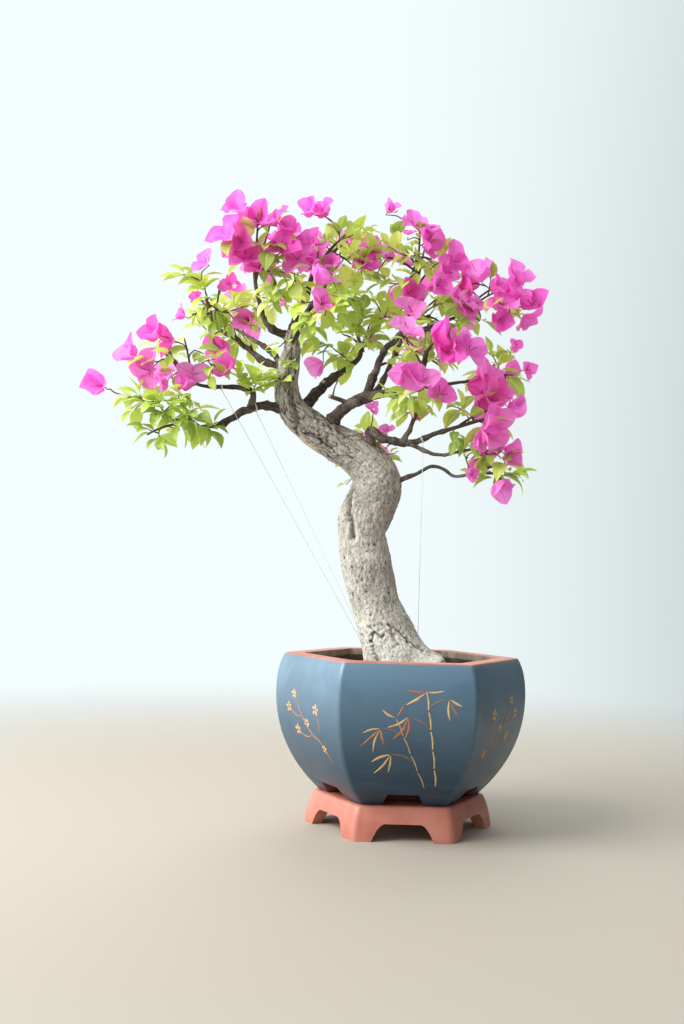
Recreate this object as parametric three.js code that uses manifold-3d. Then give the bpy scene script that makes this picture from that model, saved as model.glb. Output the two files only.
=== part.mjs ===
// A bougainvillea bonsai in a six-sided pot that stands on a six-footed stand.
// Millimetres, +Z up. Everything is laid out round the pot's axis, and the whole is then moved so that
// the origin lies on the ground under the middle of the plant's box.

import * as THREE from "three";
import { mergeVertices } from "three/addons/utils/BufferGeometryUtils.js";
import Module from "manifold-3d";

const wasm = await Module();
wasm.setup();

// Driving dimensions. Radii of six-sided pieces are measured to their corners.
const gap = 0.3; // between two pieces that touch
const hexSides = 6;
const potAxis = [108.5, -23]; // where the pot's axis stands in the finished frame
const stand = {
  height: 37,
  topRadius: 101,
  footRadius: 111,
  legWall: 15,
  plate: 10,
  edge: 3,
  archWidth: 69,
  archFlat: 38,
  archHeight: 19,
};
const pot = {
  height: 159,
  footRadius: 95,
  bellyRadius: 149,
  bellyHeight: 115,
  bellyPull: 48,
  rimRadius: 140,
  wall: 12,
  lip: 23,
  lipDepth: 8,
  floor: 21,
  edge: 1.5,
  notchFoot: 46,
  notchTop: 34,
  notchHeight: 13.5,
  notchDepth: 26,
};
const soilBelowRim = 22;
const wireRadius = 0.4;

const potFoot = stand.height + gap;
const potRim = potFoot + pot.height;
const soilTop = potRim - soilBelowRim;
const ground = soilTop + gap; // the flat cut under the trunk

// The trunk's middle line from the ground to its fork: x, y, z and radius at each bend or change of taper.
const trunkStations = [
  [9, 0, 160, 36.5],
  [-14.5, 0, 212, 32.5],
  [-32, -2, 255, 28.6],
  [-46, -6, 308, 29.8],
  [-51, -7, 343, 27.7],
  [-43, 1, 372, 31.5],
  [-34, 8, 400, 29.5],
  [-49, 13, 428, 26],
  [-82, 12, 448, 22.5],
  [-113, 7, 465, 21],
  [-139, -1, 487, 16.8],
  [-147, -5.5, 513, 14.6],
  [-145, -7, 538, 13.5],
  [-141.5, -8, 558, 10.8],
  [-144, -5, 582, 8],
];
const boughCollar = { share: 0.3, fade: 0.07 };
const rootFlare = { share: 0.5, height: 17, roots: 5, ridge: 0.3, turn: 0.35 };

// Boughs: the limb each springs from, the points it bends through, and its radius at foot and tip.
const boughs = {
  bough_left_low: {
    route: [[-139, 0, 487], [-170, -10, 489], [-195, -20, 481], [-220, -30, 463], [-240, -36, 458]],
    foot: 7,
    tip: 2.6,
  },
  bough_left_rise: {
    route: [[-188, -16, 485], [-186, -20, 503], [-200, -28, 506], [-240, -42, 505]],
    foot: 4.2,
    tip: 2,
  },
  bough_left_mid: {
    route: [[-146, -6, 536], [-178, 0, 547], [-212, 14, 575], [-230, 18, 585]],
    foot: 5,
    tip: 2.4,
  },
  bough_apex_left: {
    route: [[-144, -5, 575], [-166, -14, 582], [-175, -26, 594], [-181, -42, 611]],
    foot: 5.2,
    tip: 2.6,
  },
  bough_apex_right: {
    route: [[-145, -5, 570], [-136, 6, 608], [-127, 10, 633], [-121, 12, 653]],
    foot: 6,
    tip: 3,
  },
  bough_centre: {
    route: [[-131, 5, 482], [-106, 22, 518], [-84, 34, 540], [-63, 42, 557]],
    foot: 8.5,
    tip: 3.4,
  },
  bough_shoulder: {
    route: [[-99, 8, 463], [-80, -4, 490], [-56, -18, 500], [-12, -38, 506]],
    foot: 8.5,
    tip: 4.6,
  },
  bough_riser: {
    route: [[-52, -20, 498], [-43, -12, 527], [-30, 0, 561], [-6, 8, 590], [6, 14, 629]],
    foot: 5.5,
    tip: 2.6,
  },
  bough_far_right: {
    route: [[-12, 6, 583], [18, 13, 592], [50, 18, 607]],
    foot: 3.6,
    tip: 2.2,
  },
  bough_right_low: {
    route: [[-42, 8, 436], [-43, -10, 462], [-26, -18, 450], [3, -20, 448], [30, -26, 458], [46, -31, 463]],
    foot: 7,
    tip: 2.6,
  },
  bough_right_rise: {
    route: [[-6, -19, 447], [1, -24, 462], [6, -32, 474]],
    foot: 3.8,
    tip: 2.2,
  },
  bough_right_droop: {
    route: [[2, -20, 447], [19, -26, 439], [37, -32, 433], [64, -40, 438]],
    foot: 2.8,
    tip: 1.6,
  },
  bough_low_right: {
    route: [[-16, 4, 401], [14, -8, 414], [35, -14, 422], [55, -19, 410], [74, -23, 412]],
    foot: 3,
    tip: 1.5,
  },
  bough_right_outer: {
    route: [[-44, -24, 503], [-10, -14, 514], [30, -6, 520], [68, 2, 527]],
    foot: 3.6,
    tip: 2,
  },
  bough_back_left: {
    route: [[-146, -4, 532], [-169, 40, 565], [-200, 78, 591]],
    foot: 5,
    tip: 2.4,
  },
  bough_back_top: {
    route: [[-143, -4, 560], [-130, 40, 610], [-107, 92, 664]],
    foot: 5,
    tip: 2.4,
  },
  bough_back_right: {
    route: [[-104, 13, 464], [-78, 48, 498], [-40, 82, 522], [-4, 101, 598]],
    foot: 6,
    tip: 2.8,
  },
  bough_back_low: {
    route: [[-41, 12, 423], [-38, 55, 445], [-42, 95, 450]],
    foot: 5,
    tip: 2.2,
  },
  bough_front_top: {
    route: [[-144, -6, 564], [-133, -40, 578], [-119, -66, 584]],
    foot: 4,
    tip: 2.2,
  },
};

// Masses of leaves and blossom: the bough that carries each, its heart, how far it reaches each way,
// the share of its sprays that end in blossom, and the tip of a leader that stands out of it, where one does.
const masses = {
  leaves_left_low: {
    bough: "bough_left_low",
    heart: [-288, -45, 467],
    reach: [76, 60, 54],
    blossom: 0.1,
    leader: [-352, -45, 496],
  },
  blossom_left: {
    bough: "bough_left_rise",
    heart: [-283, -40, 545],
    reach: [68, 58, 50],
    blossom: 0.8,
  },
  leaves_left_mid: {
    bough: "bough_left_mid",
    heart: [-250, 15, 625],
    reach: [68, 60, 56],
    blossom: 0.45,
  },
  blossom_top_left: {
    bough: "bough_apex_left",
    heart: [-184, -45, 680],
    reach: [78, 70, 62],
    blossom: 0.85,
  },
  leaves_top_centre: {
    bough: "bough_apex_right",
    heart: [-90, 10, 690],
    reach: [58, 65, 68],
    blossom: 0.4,
  },
  leaves_front: {
    bough: "bough_front_top",
    heart: [-106, -96, 592],
    reach: [50, 48, 42],
    blossom: 0.25,
  },
  leaves_centre: {
    bough: "bough_centre",
    heart: [-62, 52, 590],
    reach: [60, 54, 52],
    blossom: 0.15,
  },
  blossom_top_right: {
    bough: "bough_riser",
    heart: [5, 15, 690],
    reach: [65, 75, 68],
    blossom: 0.7,
  },
  blossom_right_upper: {
    bough: "bough_far_right",
    heart: [104, 20, 636],
    reach: [76, 65, 54],
    blossom: 0.85,
  },
  blossom_right_mid: {
    bough: "bough_shoulder",
    heart: [15, -78, 546],
    reach: [64, 60, 60],
    blossom: 0.8,
  },
  blossom_right_outer: {
    bough: "bough_right_outer",
    heart: [112, 5, 540],
    reach: [60, 66, 56],
    blossom: 0.75,
  },
  blossom_right_low: {
    bough: "bough_right_low",
    heart: [90, -42, 476],
    reach: [60, 56, 40],
    blossom: 0.65,
  },
  leaves_right_droop: {
    bough: "bough_right_droop",
    heart: [90, -42, 439],
    reach: [30, 28, 19],
    blossom: 0.2,
  },
  leaves_low_right: {
    bough: "bough_low_right",
    heart: [109, -28, 413],
    reach: [49, 42, 40],
    blossom: 0.5,
  },
  leaves_centre_low: {
    bough: "bough_right_rise",
    heart: [12, -44, 490],
    reach: [34, 30, 24],
    blossom: 0.15,
  },
  leaves_back_left: {
    bough: "bough_back_left",
    heart: [-243, 130, 624],
    reach: [66, 60, 58],
    blossom: 0.45,
  },
  blossom_back_top: {
    bough: "bough_back_top",
    heart: [-95, 135, 711],
    reach: [82, 60, 66],
    blossom: 0.6,
  },
  blossom_back_right: {
    bough: "bough_back_right",
    heart: [35, 135, 642],
    reach: [80, 60, 66],
    blossom: 0.6,
  },
  leaves_back_low: {
    bough: "bough_back_low",
    heart: [-46, 132, 454],
    reach: [56, 42, 37],
    blossom: 0.1,
  },
};
const stem = { radius: 2.6, tip: 2.1 };
const twig = { radius: 2.3, tip: 1.9, rise: 0.14, firstAt: 0.3, lastAt: 0.98, endRoom: 0.7, shortest: 0.35 };
const leaf = { length: 46, width: 27, thick: 1.2, widest: 0.42, fold: 0.09, droop: 0.2, sway: 0.3 };
const bract = {
  length: 42,
  width: 32,
  thick: 1.2,
  widest: 0.58,
  fold: 0.02,
  droop: -0.1,
  sway: 0.05,
  count: 3,
  opening: 1.3,
};
const rootSunk = 0.5; // how far a blade's root runs on into its twig
const rootRoom = 9; // blades may come close to one another this near their roots
const bladeRoom = 6; // and stay this far apart elsewhere
const fullBladeReach = 52; // a mass that reaches less than this has smaller blades
const bladeTries = 5;
const roomPerTwig = 208000; // cubic millimetres of a mass's space for each twig
const fewestTwigs = 4;
const keepOff = 3.5; // clear of a limb
const sliver = 0.1; // thinner scraps of a joined mesh are closed up

// Guy wires that pull boughs down: how far along its bough each starts, and the point in the root flare
// that it runs to.
const wires = {
  guy_wire_left: { from: "bough_left_rise", at: 0.76, to: [-30, -10, 180] },
  guy_wire_inner: { from: "bough_left_low", at: 0.42, to: [-28, -18, 180] },
  guy_wire_right: { from: "bough_right_low", at: 0.76, to: [18, -8, 185] },
};

const finish = {
  bark: new THREE.MeshStandardMaterial({ color: 0x8f857a, roughness: 0.95, metalness: 0 }),
  boughBark: new THREE.MeshStandardMaterial({ color: 0x5d544c, roughness: 0.95, metalness: 0 }),
  leaves: new THREE.MeshStandardMaterial({ color: 0x9dbb3c, roughness: 0.6, metalness: 0 }),
  blossom: new THREE.MeshStandardMaterial({ color: 0xd93fae, roughness: 0.7, metalness: 0 }),
  soil: new THREE.MeshStandardMaterial({ color: 0x4a3f34, roughness: 1, metalness: 0 }),
  slip: new THREE.MeshStandardMaterial({ color: 0x3f627b, roughness: 0.6, metalness: 0 }),
  clay: new THREE.MeshStandardMaterial({ color: 0xb5614b, roughness: 0.75, metalness: 0 }),
  wire: new THREE.MeshStandardMaterial({ color: 0xc9ced0, roughness: 0.4, metalness: 0.6 }),
};

const bonsai = new THREE.Group();

// Solids

function solidOf(geometry) {
  const bare = geometry.index ? geometry.toNonIndexed() : geometry.clone();
  bare.deleteAttribute("normal");
  bare.deleteAttribute("uv");
  const merged = mergeVertices(bare, 1e-3);
  const corners = merged.index.array;
  const triVerts = [];
  for (let i = 0; i < corners.length; i += 3) {
    const [a, b, c] = corners.slice(i, i + 3);
    if (a !== b && b !== c && c !== a) triVerts.push(a, b, c);
  }
  const build = (order) =>
    new wasm.Manifold(
      new wasm.Mesh({
        numProp: 3,
        vertProperties: new Float32Array(merged.attributes.position.array),
        triVerts: new Uint32Array(order),
      }),
    );
  const made = build(triVerts);
  return made.volume() < 0 ? build(triVerts.reverse()) : made;
}

// The largest closed shell of a solid: loose scraps are dropped and sealed hollows are filled.
function largestPiece(solid) {
  const { triVerts, vertProperties } = solid.getMesh();
  const joined = Array.from({ length: vertProperties.length / 3 }, (_, i) => i);
  const rootOf = (corner) => {
    while (joined[corner] !== corner) corner = joined[corner] = joined[joined[corner]];
    return corner;
  };
  for (let i = 0; i < triVerts.length; i += 3) {
    joined[rootOf(triVerts[i])] = rootOf(triVerts[i + 1]);
    joined[rootOf(triVerts[i + 1])] = rootOf(triVerts[i + 2]);
  }
  const shells = new Map();
  for (let i = 0; i < triVerts.length; i += 3) {
    const root = rootOf(triVerts[i]);
    if (!shells.has(root)) shells.set(root, []);
    shells.get(root).push(...triVerts.slice(i, i + 3));
  }
  const outer = [...shells.values()].reduce((best, shell) => (shell.length > best.length ? shell : best));
  return new wasm.Manifold(new wasm.Mesh({ numProp: 3, vertProperties, triVerts: new Uint32Array(outer) }));
}

function geometryOf(solid) {
  const mesh = solid.getMesh();
  const geometry = new THREE.BufferGeometry();
  geometry.setAttribute("position", new THREE.BufferAttribute(new Float32Array(mesh.vertProperties), 3));
  geometry.setIndex(new THREE.BufferAttribute(new Uint32Array(mesh.triVerts), 1));
  return geometry;
}

function addNode(name, solid, material) {
  const geometry = geometryOf(solid);
  geometry.computeVertexNormals();
  const node = new THREE.Mesh(geometry, material);
  node.name = name;
  bonsai.add(node);
}

// A six-sided turned form with a corner on the X axis, from an outline of (corner radius, height).
function hexSolid(outline) {
  const turned = new THREE.LatheGeometry(outline, hexSides, Math.PI / 2);
  return solidOf(turned.rotateX(Math.PI / 2));
}

// One cut through the middle of each of the six sides, shaped by an outline of (across, height).
function cutSides(body, outline, innerReach, outerReach) {
  const bar = new THREE.ExtrudeGeometry(outline, { depth: outerReach - innerReach, bevelEnabled: false });
  bar.rotateX(Math.PI / 2).translate(0, -innerReach, 0);
  let cut = body;
  for (let side = 0; side < hexSides; side++) {
    const turn = (side * 2 * Math.PI) / hexSides;
    cut = cut.subtract(solidOf(bar.clone().rotateZ(turn)));
  }
  return cut;
}

// Stand

function buildStand() {
  const { height, topRadius, footRadius, legWall, plate, edge, archWidth, archFlat, archHeight } = stand;
  const profile = new THREE.Path();
  profile.moveTo(0, height - plate);
  profile.lineTo(topRadius - legWall, height - plate);
  profile.lineTo(footRadius - legWall, 0);
  profile.lineTo(footRadius, 0);
  profile.quadraticCurveTo(footRadius - 1, height / 2, topRadius + edge / 2, height - edge);
  profile.quadraticCurveTo(topRadius, height, topRadius - edge, height);
  profile.lineTo(0, height);
  const body = hexSolid(profile.getPoints(3));

  const arch = new THREE.Shape();
  arch.moveTo(-archWidth / 2, -1);
  arch.lineTo(-archWidth / 2, 0);
  arch.quadraticCurveTo(-archWidth / 2 + 8, archHeight, -archFlat / 2, archHeight);
  arch.lineTo(archFlat / 2, archHeight);
  arch.quadraticCurveTo(archWidth / 2 - 8, archHeight, archWidth / 2, 0);
  arch.lineTo(archWidth / 2, -1);
  const bentArch = new THREE.Shape(arch.getPoints(3));
  return cutSides(body, bentArch, footRadius / 2, footRadius * 1.2);
}

// Pot and soil

function potInside(clear) {
  const { wall, lip, lipDepth, floor, footRadius, bellyRadius, bellyHeight, bellyPull } = pot;
  const inside = new THREE.Path();
  const lipFoot = potRim - lipDepth;
  inside.moveTo(0, potFoot + floor + clear);
  inside.lineTo(footRadius - wall / 2 - clear, potFoot + floor + clear);
  inside.quadraticCurveTo(
    bellyRadius - wall - clear,
    potFoot + bellyPull + wall,
    bellyRadius - wall - clear,
    potFoot + bellyHeight,
  );
  inside.lineTo(bellyRadius - wall - clear, lipFoot - lip / 2);
  inside.lineTo(pot.rimRadius - lip - clear, lipFoot);
  return inside.getPoints(6);
}

function buildPot() {
  const { height, footRadius, bellyRadius, bellyHeight, bellyPull, rimRadius, lip, edge } = pot;
  const outside = new THREE.Path();
  outside.moveTo(0, potFoot);
  outside.lineTo(footRadius, potFoot);
  outside.quadraticCurveTo(bellyRadius, potFoot + bellyPull, bellyRadius, potFoot + bellyHeight);
  outside.quadraticCurveTo(bellyRadius, potFoot + height * 0.9, rimRadius, potRim - edge);
  outside.lineTo(rimRadius - edge, potRim);
  outside.lineTo(rimRadius - lip, potRim);
  const outline = [...outside.getPoints(7), ...potInside(0).reverse()];
  const body = hexSolid(outline);

  const notch = new THREE.Shape();
  notch.moveTo(-pot.notchFoot / 2, potFoot - 1);
  notch.lineTo(pot.notchFoot / 2, potFoot - 1);
  notch.lineTo(pot.notchTop / 2, potFoot + pot.notchHeight);
  notch.lineTo(-pot.notchTop / 2, potFoot + pot.notchHeight);
  const footFlat = footRadius * Math.cos(Math.PI / hexSides);
  return cutSides(body, notch, footFlat - pot.notchDepth, footRadius * 1.3);
}

function buildSoil() {
  const outline = potInside(gap).filter((point) => point.y < soilTop);
  const shoulder = outline[outline.length - 1];
  return hexSolid([...outline, new THREE.Vector2(shoulder.x, soilTop), new THREE.Vector2(0, soilTop)]);
}

// Limbs: tapering tubes along a curve, kept as {curve, radiusAt} so that others can be set clear of them

const toVector = (point) => new THREE.Vector3(...point);

function limbSolid(limb, sides, rings, grow = 0) {
  const tube = new THREE.CylinderGeometry(1, 1, 1, sides, rings);
  const frames = limb.curve.computeFrenetFrames(rings, false);
  const spots = tube.attributes.position;
  for (let i = 0; i < spots.count; i++) {
    const ring = Math.round((spots.getY(i) + 0.5) * rings);
    const along = ring / rings;
    const across = Math.hypot(spots.getX(i), spots.getZ(i));
    const angle = Math.atan2(spots.getZ(i), spots.getX(i));
    const radius = across * (limb.radiusAt(along, angle) + grow);
    const place = limb.curve.getPointAt(along);
    place.addScaledVector(frames.normals[ring], radius * Math.cos(angle));
    place.addScaledVector(frames.binormals[ring], radius * Math.sin(angle));
    spots.setXYZ(i, place.x, place.y, place.z);
  }
  return solidOf(tube);
}

function trunkLimb() {
  const curve = new THREE.CatmullRomCurve3(trunkStations.map((s) => toVector(s)), false, "centripetal");
  const last = trunkStations.length - 1;
  const radiusAt = (along, angle) => {
    const spot = curve.getUtoTmapping(along) * last;
    const lower = Math.min(Math.floor(spot), last - 1);
    const radius = THREE.MathUtils.lerp(trunkStations[lower][3], trunkStations[lower + 1][3], spot - lower);
    const above = Math.max(curve.getPointAt(along).z - ground, 0);
    const ridges = 1 + rootFlare.ridge * Math.cos(rootFlare.roots * (angle + rootFlare.turn));
    return radius * (1 + rootFlare.share * ridges * Math.exp(-above / rootFlare.height));
  };
  return { curve, radiusAt, sides: 14, rings: 26 };
}

function boughLimb({ route, foot, tip }) {
  const curve = new THREE.CatmullRomCurve3(route.map(toVector), false, "centripetal");
  const collarAt = (along) => boughCollar.share * foot * Math.exp(-along / boughCollar.fade);
  const radiusAt = (along) => THREE.MathUtils.lerp(foot, tip, along ** 0.8) + collarAt(along);
  return { curve, radiusAt, sides: 6, rings: 2 * (route.length - 1) };
}

function boxOfGround() {
  const depth = 100;
  const block = new THREE.BoxGeometry(4 * pot.rimRadius, 4 * pot.rimRadius, depth);
  return solidOf(block.translate(0, 0, ground - depth / 2));
}

// The trunk first, then each bough cut back so that it clears the limbs made before it.
function buildLimbs() {
  const limbs = { trunk: trunkLimb() };
  const grown = [limbSolid(limbs.trunk, limbs.trunk.sides, limbs.trunk.rings, gap)];
  const trunkSolid = limbSolid(limbs.trunk, limbs.trunk.sides, limbs.trunk.rings);
  addNode("trunk", largestPiece(trunkSolid.subtract(boxOfGround())), finish.bark);
  for (const [name, bough] of Object.entries(boughs)) {
    const limb = boughLimb(bough);
    const whole = limbSolid(limb, limb.sides, limb.rings);
    const clear = grown.reduce((left, other) => left.subtract(other), whole);
    addNode(name, largestPiece(clear), finish.boughBark);
    grown.push(limbSolid(limb, limb.sides, limb.rings, gap));
    limbs[name] = limb;
  }
  return limbs;
}

// Foliage

function seededRandom(seed) {
  let state = seed;
  return () => {
    state = (state + 0x6d2b79f5) | 0;
    let mixed = Math.imul(state ^ (state >>> 15), 1 | state);
    mixed = (mixed + Math.imul(mixed ^ (mixed >>> 7), 61 | mixed)) ^ mixed;
    return ((mixed ^ (mixed >>> 14)) >>> 0) / 4294967296;
  };
}

// The stem runs on from the bough's tip to the heart of its mass.
function stemLimb(mass, carrier) {
  const heading = carrier.curve.getTangentAt(1);
  const start = carrier.curve.getPointAt(1).addScaledVector(heading, gap);
  const end = toVector(mass.heart);
  const bend = start.clone().addScaledVector(heading, start.distanceTo(end) * 0.45);
  const curve = new THREE.QuadraticBezierCurve3(start, bend, end);
  return { curve, radiusAt: (along) => THREE.MathUtils.lerp(stem.radius, stem.tip, along) };
}

function samplesOf(limb) {
  const count = Math.ceil(limb.curve.getLength() / 4);
  return Array.from({ length: count + 1 }, (_, i) => ({
    place: limb.curve.getPointAt(i / count),
    radius: limb.radiusAt(i / count, 0),
  }));
}

// How far a point is from a mass's heart, as a share of the mass's reach.
function depthIn(mass, point) {
  const [dx, dy, dz] = mass.heart.map((value, axis) => (point.getComponent(axis) - value) / mass.reach[axis]);
  return Math.hypot(dx, dy, dz);
}

function makeSpaceTest(mass, limbSamples) {
  const others = Object.values(masses).filter((other) => other !== mass);
  return (points, leading = false) =>
    points.every((point) => {
      const own = depthIn(mass, point);
      const inSpace = leading || own < 1.02;
      const nearest = others.every((other) => depthIn(other, point) > (leading ? 1.05 : own + 0.04));
      const offLimbs = limbSamples.every((s) => s.place.distanceTo(point) > s.radius + keepOff);
      return inSpace && nearest && offLimbs;
    });
}

// A leaf or bract: an octahedron drawn out from its sunk root to its tip, folded along its midrib.
function blade(root, heading, facing, form, size) {
  const across = new THREE.Vector3().crossVectors(heading, facing).normalize();
  const up = new THREE.Vector3().crossVectors(across, heading).normalize();
  const length = form.length * size;
  const place = (along, side, lift) => {
    const fold = Math.abs(side) * form.fold * length;
    const droop = form.droop * length * along * along;
    return root
      .clone()
      .addScaledVector(heading, along * length)
      .addScaledVector(across, (side * form.width * size) / 2)
      .addScaledVector(up, lift * form.thick + fold - droop);
  };
  const shape = new THREE.OctahedronGeometry(1, 0);
  const spots = shape.attributes.position;
  const stations = { "-1": -rootSunk / length, 0: form.widest, 1: 1 };
  for (let i = 0; i < spots.count; i++) {
    const [side, along, lift] = [spots.getX(i), spots.getY(i), spots.getZ(i)].map(Math.round);
    spots.setXYZ(i, ...place(stations[along], side, lift / 2).toArray());
  }
  const samples = [];
  for (const along of [0.25, form.widest, 0.75, 1]) {
    const wide = along < form.widest ? along / form.widest : (1 - along) / (1 - form.widest);
    for (const side of [-1, -0.5, 0, 0.5, 1]) samples.push(place(along, side * wide, 0));
  }
  return { shape, samples };
}

// One mass: a stem, twigs that leave it towards points spread evenly over the mass's reach, and on each
// twig either blossom, three bracts at its tip and three part way along, or leaves set by turns.
function growMass(name, mass, stemOf, limbs) {
  const random = seededRandom([...name].reduce((sum, letter) => sum * 31 + letter.charCodeAt(0), 7) | 0);
  const between = (low, high) => low + (high - low) * random();
  const ownStem = stemOf[name];
  const otherStems = Object.values(stemOf).filter((other) => other !== ownStem);
  const limbSamples = [...Object.values(limbs), ...otherStems].flatMap(samplesOf);
  const fits = makeSpaceTest(mass, limbSamples);
  const solids = [limbSolid(ownStem, 3, 3)];
  const heart = toVector(mass.heart);
  const upward = new THREE.Vector3(0, 0, 1);
  const scale = THREE.MathUtils.clamp(Math.min(...mass.reach) / fullBladeReach, 0.55, 1);

  // A blade that doesn't fit, or crowds those already there, is tried again, turned a little and smaller.
  const taken = [];
  const crowds = (samples, root) => {
    const elsewhere = taken.filter((spot) => spot.distanceTo(root) > rootRoom);
    return samples.some((sample) => elsewhere.some((spot) => spot.distanceTo(sample) < bladeRoom));
  };
  const addBlade = (root, aim, facing, form, leading) => {
    for (let attempt = 0; attempt < bladeTries; attempt++) {
      const sway = new THREE.Vector3(between(-1, 1), between(-1, 1), between(-1, 1));
      const heading = aim.clone().addScaledVector(sway, form.sway).normalize();
      const made = blade(root, heading, facing, form, scale * between(0.88, 1.1) * 0.88 ** attempt);
      if (fits(made.samples, leading) && !crowds(made.samples, root)) {
        solids.push(solidOf(made.shape));
        taken.push(...made.samples);
        return;
      }
    }
  };
  const addBlossom = (root, axis, leading) => {
    const side = new THREE.Vector3().crossVectors(axis, upward).normalize();
    const turn = between(0, 2 * Math.PI);
    for (let i = 0; i < bract.count; i++) {
      const round = side.clone().applyAxisAngle(axis, turn + (i * 2 * Math.PI) / bract.count);
      const aim = axis.clone().addScaledVector(round, bract.opening).normalize();
      const ownRoot = root.clone().addScaledVector(round, twig.tip / 3);
      addBlade(ownRoot, aim, axis.clone().addScaledVector(round, -1), bract, leading);
    }
  };
  const addLeaf = (root, aim, leading) => {
    addBlade(root, aim.clone().normalize(), upward, leaf, leading);
  };

  const volume = (4 / 3) * Math.PI * mass.reach.reduce((product, reach) => product * reach, 1);
  const count = Math.max(fewestTwigs, Math.round(volume / roomPerTwig));
  const golden = Math.PI * (3 - Math.sqrt(5));
  const ends = Array.from({ length: count }, (_, i) => {
    const z = 1 - (2 * (i + 0.5)) / count;
    const flat = Math.sqrt(1 - z * z);
    const way = new THREE.Vector3(flat * Math.cos(i * golden), flat * Math.sin(i * golden), z);
    const reach = 1 / Math.hypot(...way.toArray().map((value, axis) => value / mass.reach[axis]));
    const endRoom = twig.endRoom * leaf.length * scale;
    return heart.clone().addScaledVector(way, Math.max(reach - endRoom, twig.shortest * reach));
  });
  if (mass.leader) ends.push(toVector(mass.leader));

  ends.forEach((end, i) => {
    const leading = i === count;
    const turnUp = leading ? 0.9 : (i * 0.618) % 1;
    const start = ownStem.curve.getPointAt(THREE.MathUtils.lerp(twig.firstAt, twig.lastAt, turnUp));
    const span = start.distanceTo(end);
    const bend = start.clone().lerp(end, 0.5).addScaledVector(upward, twig.rise * span);
    const curve = new THREE.QuadraticBezierCurve3(start, bend, end);
    const limb = { curve, radiusAt: (along) => THREE.MathUtils.lerp(twig.radius, twig.tip, along) };
    if (!fits(samplesOf(limb).slice(1).map((s) => s.place), leading)) return;
    solids.push(limbSolid(limb, 3, 2));
    taken.push(...samplesOf(limb).map((s) => s.place));
    const axis = curve.getTangentAt(1);
    const outward = end.clone().sub(heart).normalize();
    const leaning = outward.clone().addScaledVector(upward, 0.5);
    const side = new THREE.Vector3().crossVectors(axis, leaning).normalize();
    if (leading || random() < mass.blossom) {
      addBlossom(curve.getPointAt(0.96), axis.clone().add(outward).normalize(), leading);
      const sideways = outward.clone().addScaledVector(side, 1.4).normalize();
      if (!leading) addBlossom(curve.getPointAt(0.62), sideways, false);
      addLeaf(curve.getPointAt(0.42), side.clone().negate().addScaledVector(outward, 0.5), leading);
    } else {
      addLeaf(curve.getPointAt(0.96), axis.clone().addScaledVector(side, 0.5), leading);
      addLeaf(curve.getPointAt(0.9), axis.clone().addScaledVector(side, -0.9), leading);
      [0.72, 0.55, 0.4].forEach((along, turn) => {
        const way = turn % 2 ? -1 : 1;
        addLeaf(curve.getPointAt(along), outward.clone().addScaledVector(side, way), leading);
      });
    }
  });
  const joined = wasm.Manifold.union(solids).simplify(sliver);
  return largestPiece(solidOf(geometryOf(joined)));
}

function buildFoliage(limbs) {
  const stemOf = {};
  for (const [name, mass] of Object.entries(masses)) stemOf[name] = stemLimb(mass, limbs[mass.bough]);
  for (const [name, mass] of Object.entries(masses)) {
    const material = name.startsWith("blossom") ? finish.blossom : finish.leaves;
    addNode(name, growMass(name, mass, stemOf, limbs), material);
  }
}

// Guy wires, each a taut straight run from its bough to the foot of the trunk, clear of both

function buildWires(limbs) {
  const grown = ({ sides, rings, ...limb }) => limbSolid(limb, sides, rings, gap);
  for (const [name, { from, at, to }] of Object.entries(wires)) {
    const foot = toVector(to);
    const top = limbs[from].curve.getPointAt(at);
    const rod = new THREE.CylinderGeometry(wireRadius, wireRadius, top.distanceTo(foot), 4);
    const run = foot.clone().sub(top).normalize();
    rod.applyQuaternion(new THREE.Quaternion().setFromUnitVectors(new THREE.Vector3(0, -1, 0), run));
    const middle = top.clone().lerp(foot, 0.5);
    const whole = solidOf(rod.translate(middle.x, middle.y, middle.z));
    const cut = whole.subtract(grown(limbs.trunk)).subtract(grown(limbs[from]));
    addNode(name, largestPiece(cut), finish.wire);
  }
}

addNode("stand", buildStand(), finish.clay);
addNode("pot", buildPot(), finish.slip);
addNode("soil", buildSoil(), finish.soil);
const limbs = buildLimbs();
buildFoliage(limbs);
buildWires(limbs);

bonsai.position.set(...potAxis, 0);

export default bonsai;
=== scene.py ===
import math

import bpy
import numpy as np
from mathutils import Matrix, noise


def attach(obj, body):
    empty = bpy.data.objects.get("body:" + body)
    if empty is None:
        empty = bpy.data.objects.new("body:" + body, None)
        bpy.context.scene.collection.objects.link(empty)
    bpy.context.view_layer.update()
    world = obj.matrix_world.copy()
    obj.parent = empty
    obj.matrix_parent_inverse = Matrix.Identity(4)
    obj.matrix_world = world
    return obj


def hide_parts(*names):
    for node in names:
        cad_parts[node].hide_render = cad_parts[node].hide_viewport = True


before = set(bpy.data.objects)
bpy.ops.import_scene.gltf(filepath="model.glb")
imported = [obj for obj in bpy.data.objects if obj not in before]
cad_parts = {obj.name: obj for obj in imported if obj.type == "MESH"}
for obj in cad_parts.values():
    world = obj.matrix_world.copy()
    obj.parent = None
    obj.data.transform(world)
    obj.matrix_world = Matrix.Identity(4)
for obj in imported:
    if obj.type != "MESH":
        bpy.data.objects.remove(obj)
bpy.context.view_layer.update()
print("frame loaded:", len(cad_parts), "nodes")

mm = 0.001
potAxis = np.array([108.5, -23.0, 0.0])  # where the pot's axis stands; all is set out round it, in mm
upward = np.array([0.0, 0.0, 1.0])
fullTurn = 2 * math.pi
hexTurn = math.radians(60)
tiny = 1e-9


# Small helpers

def inFrame(points):
    return (np.asarray(points, float) + potAxis) * mm


def unit(way):
    way = np.asarray(way, float)
    return way / max(np.linalg.norm(way), tiny)


def smoothStep(value, low, high):
    share = np.clip((np.asarray(value, float) - low) / (high - low), 0, 1)
    return share * share * (3 - 2 * share)


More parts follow.
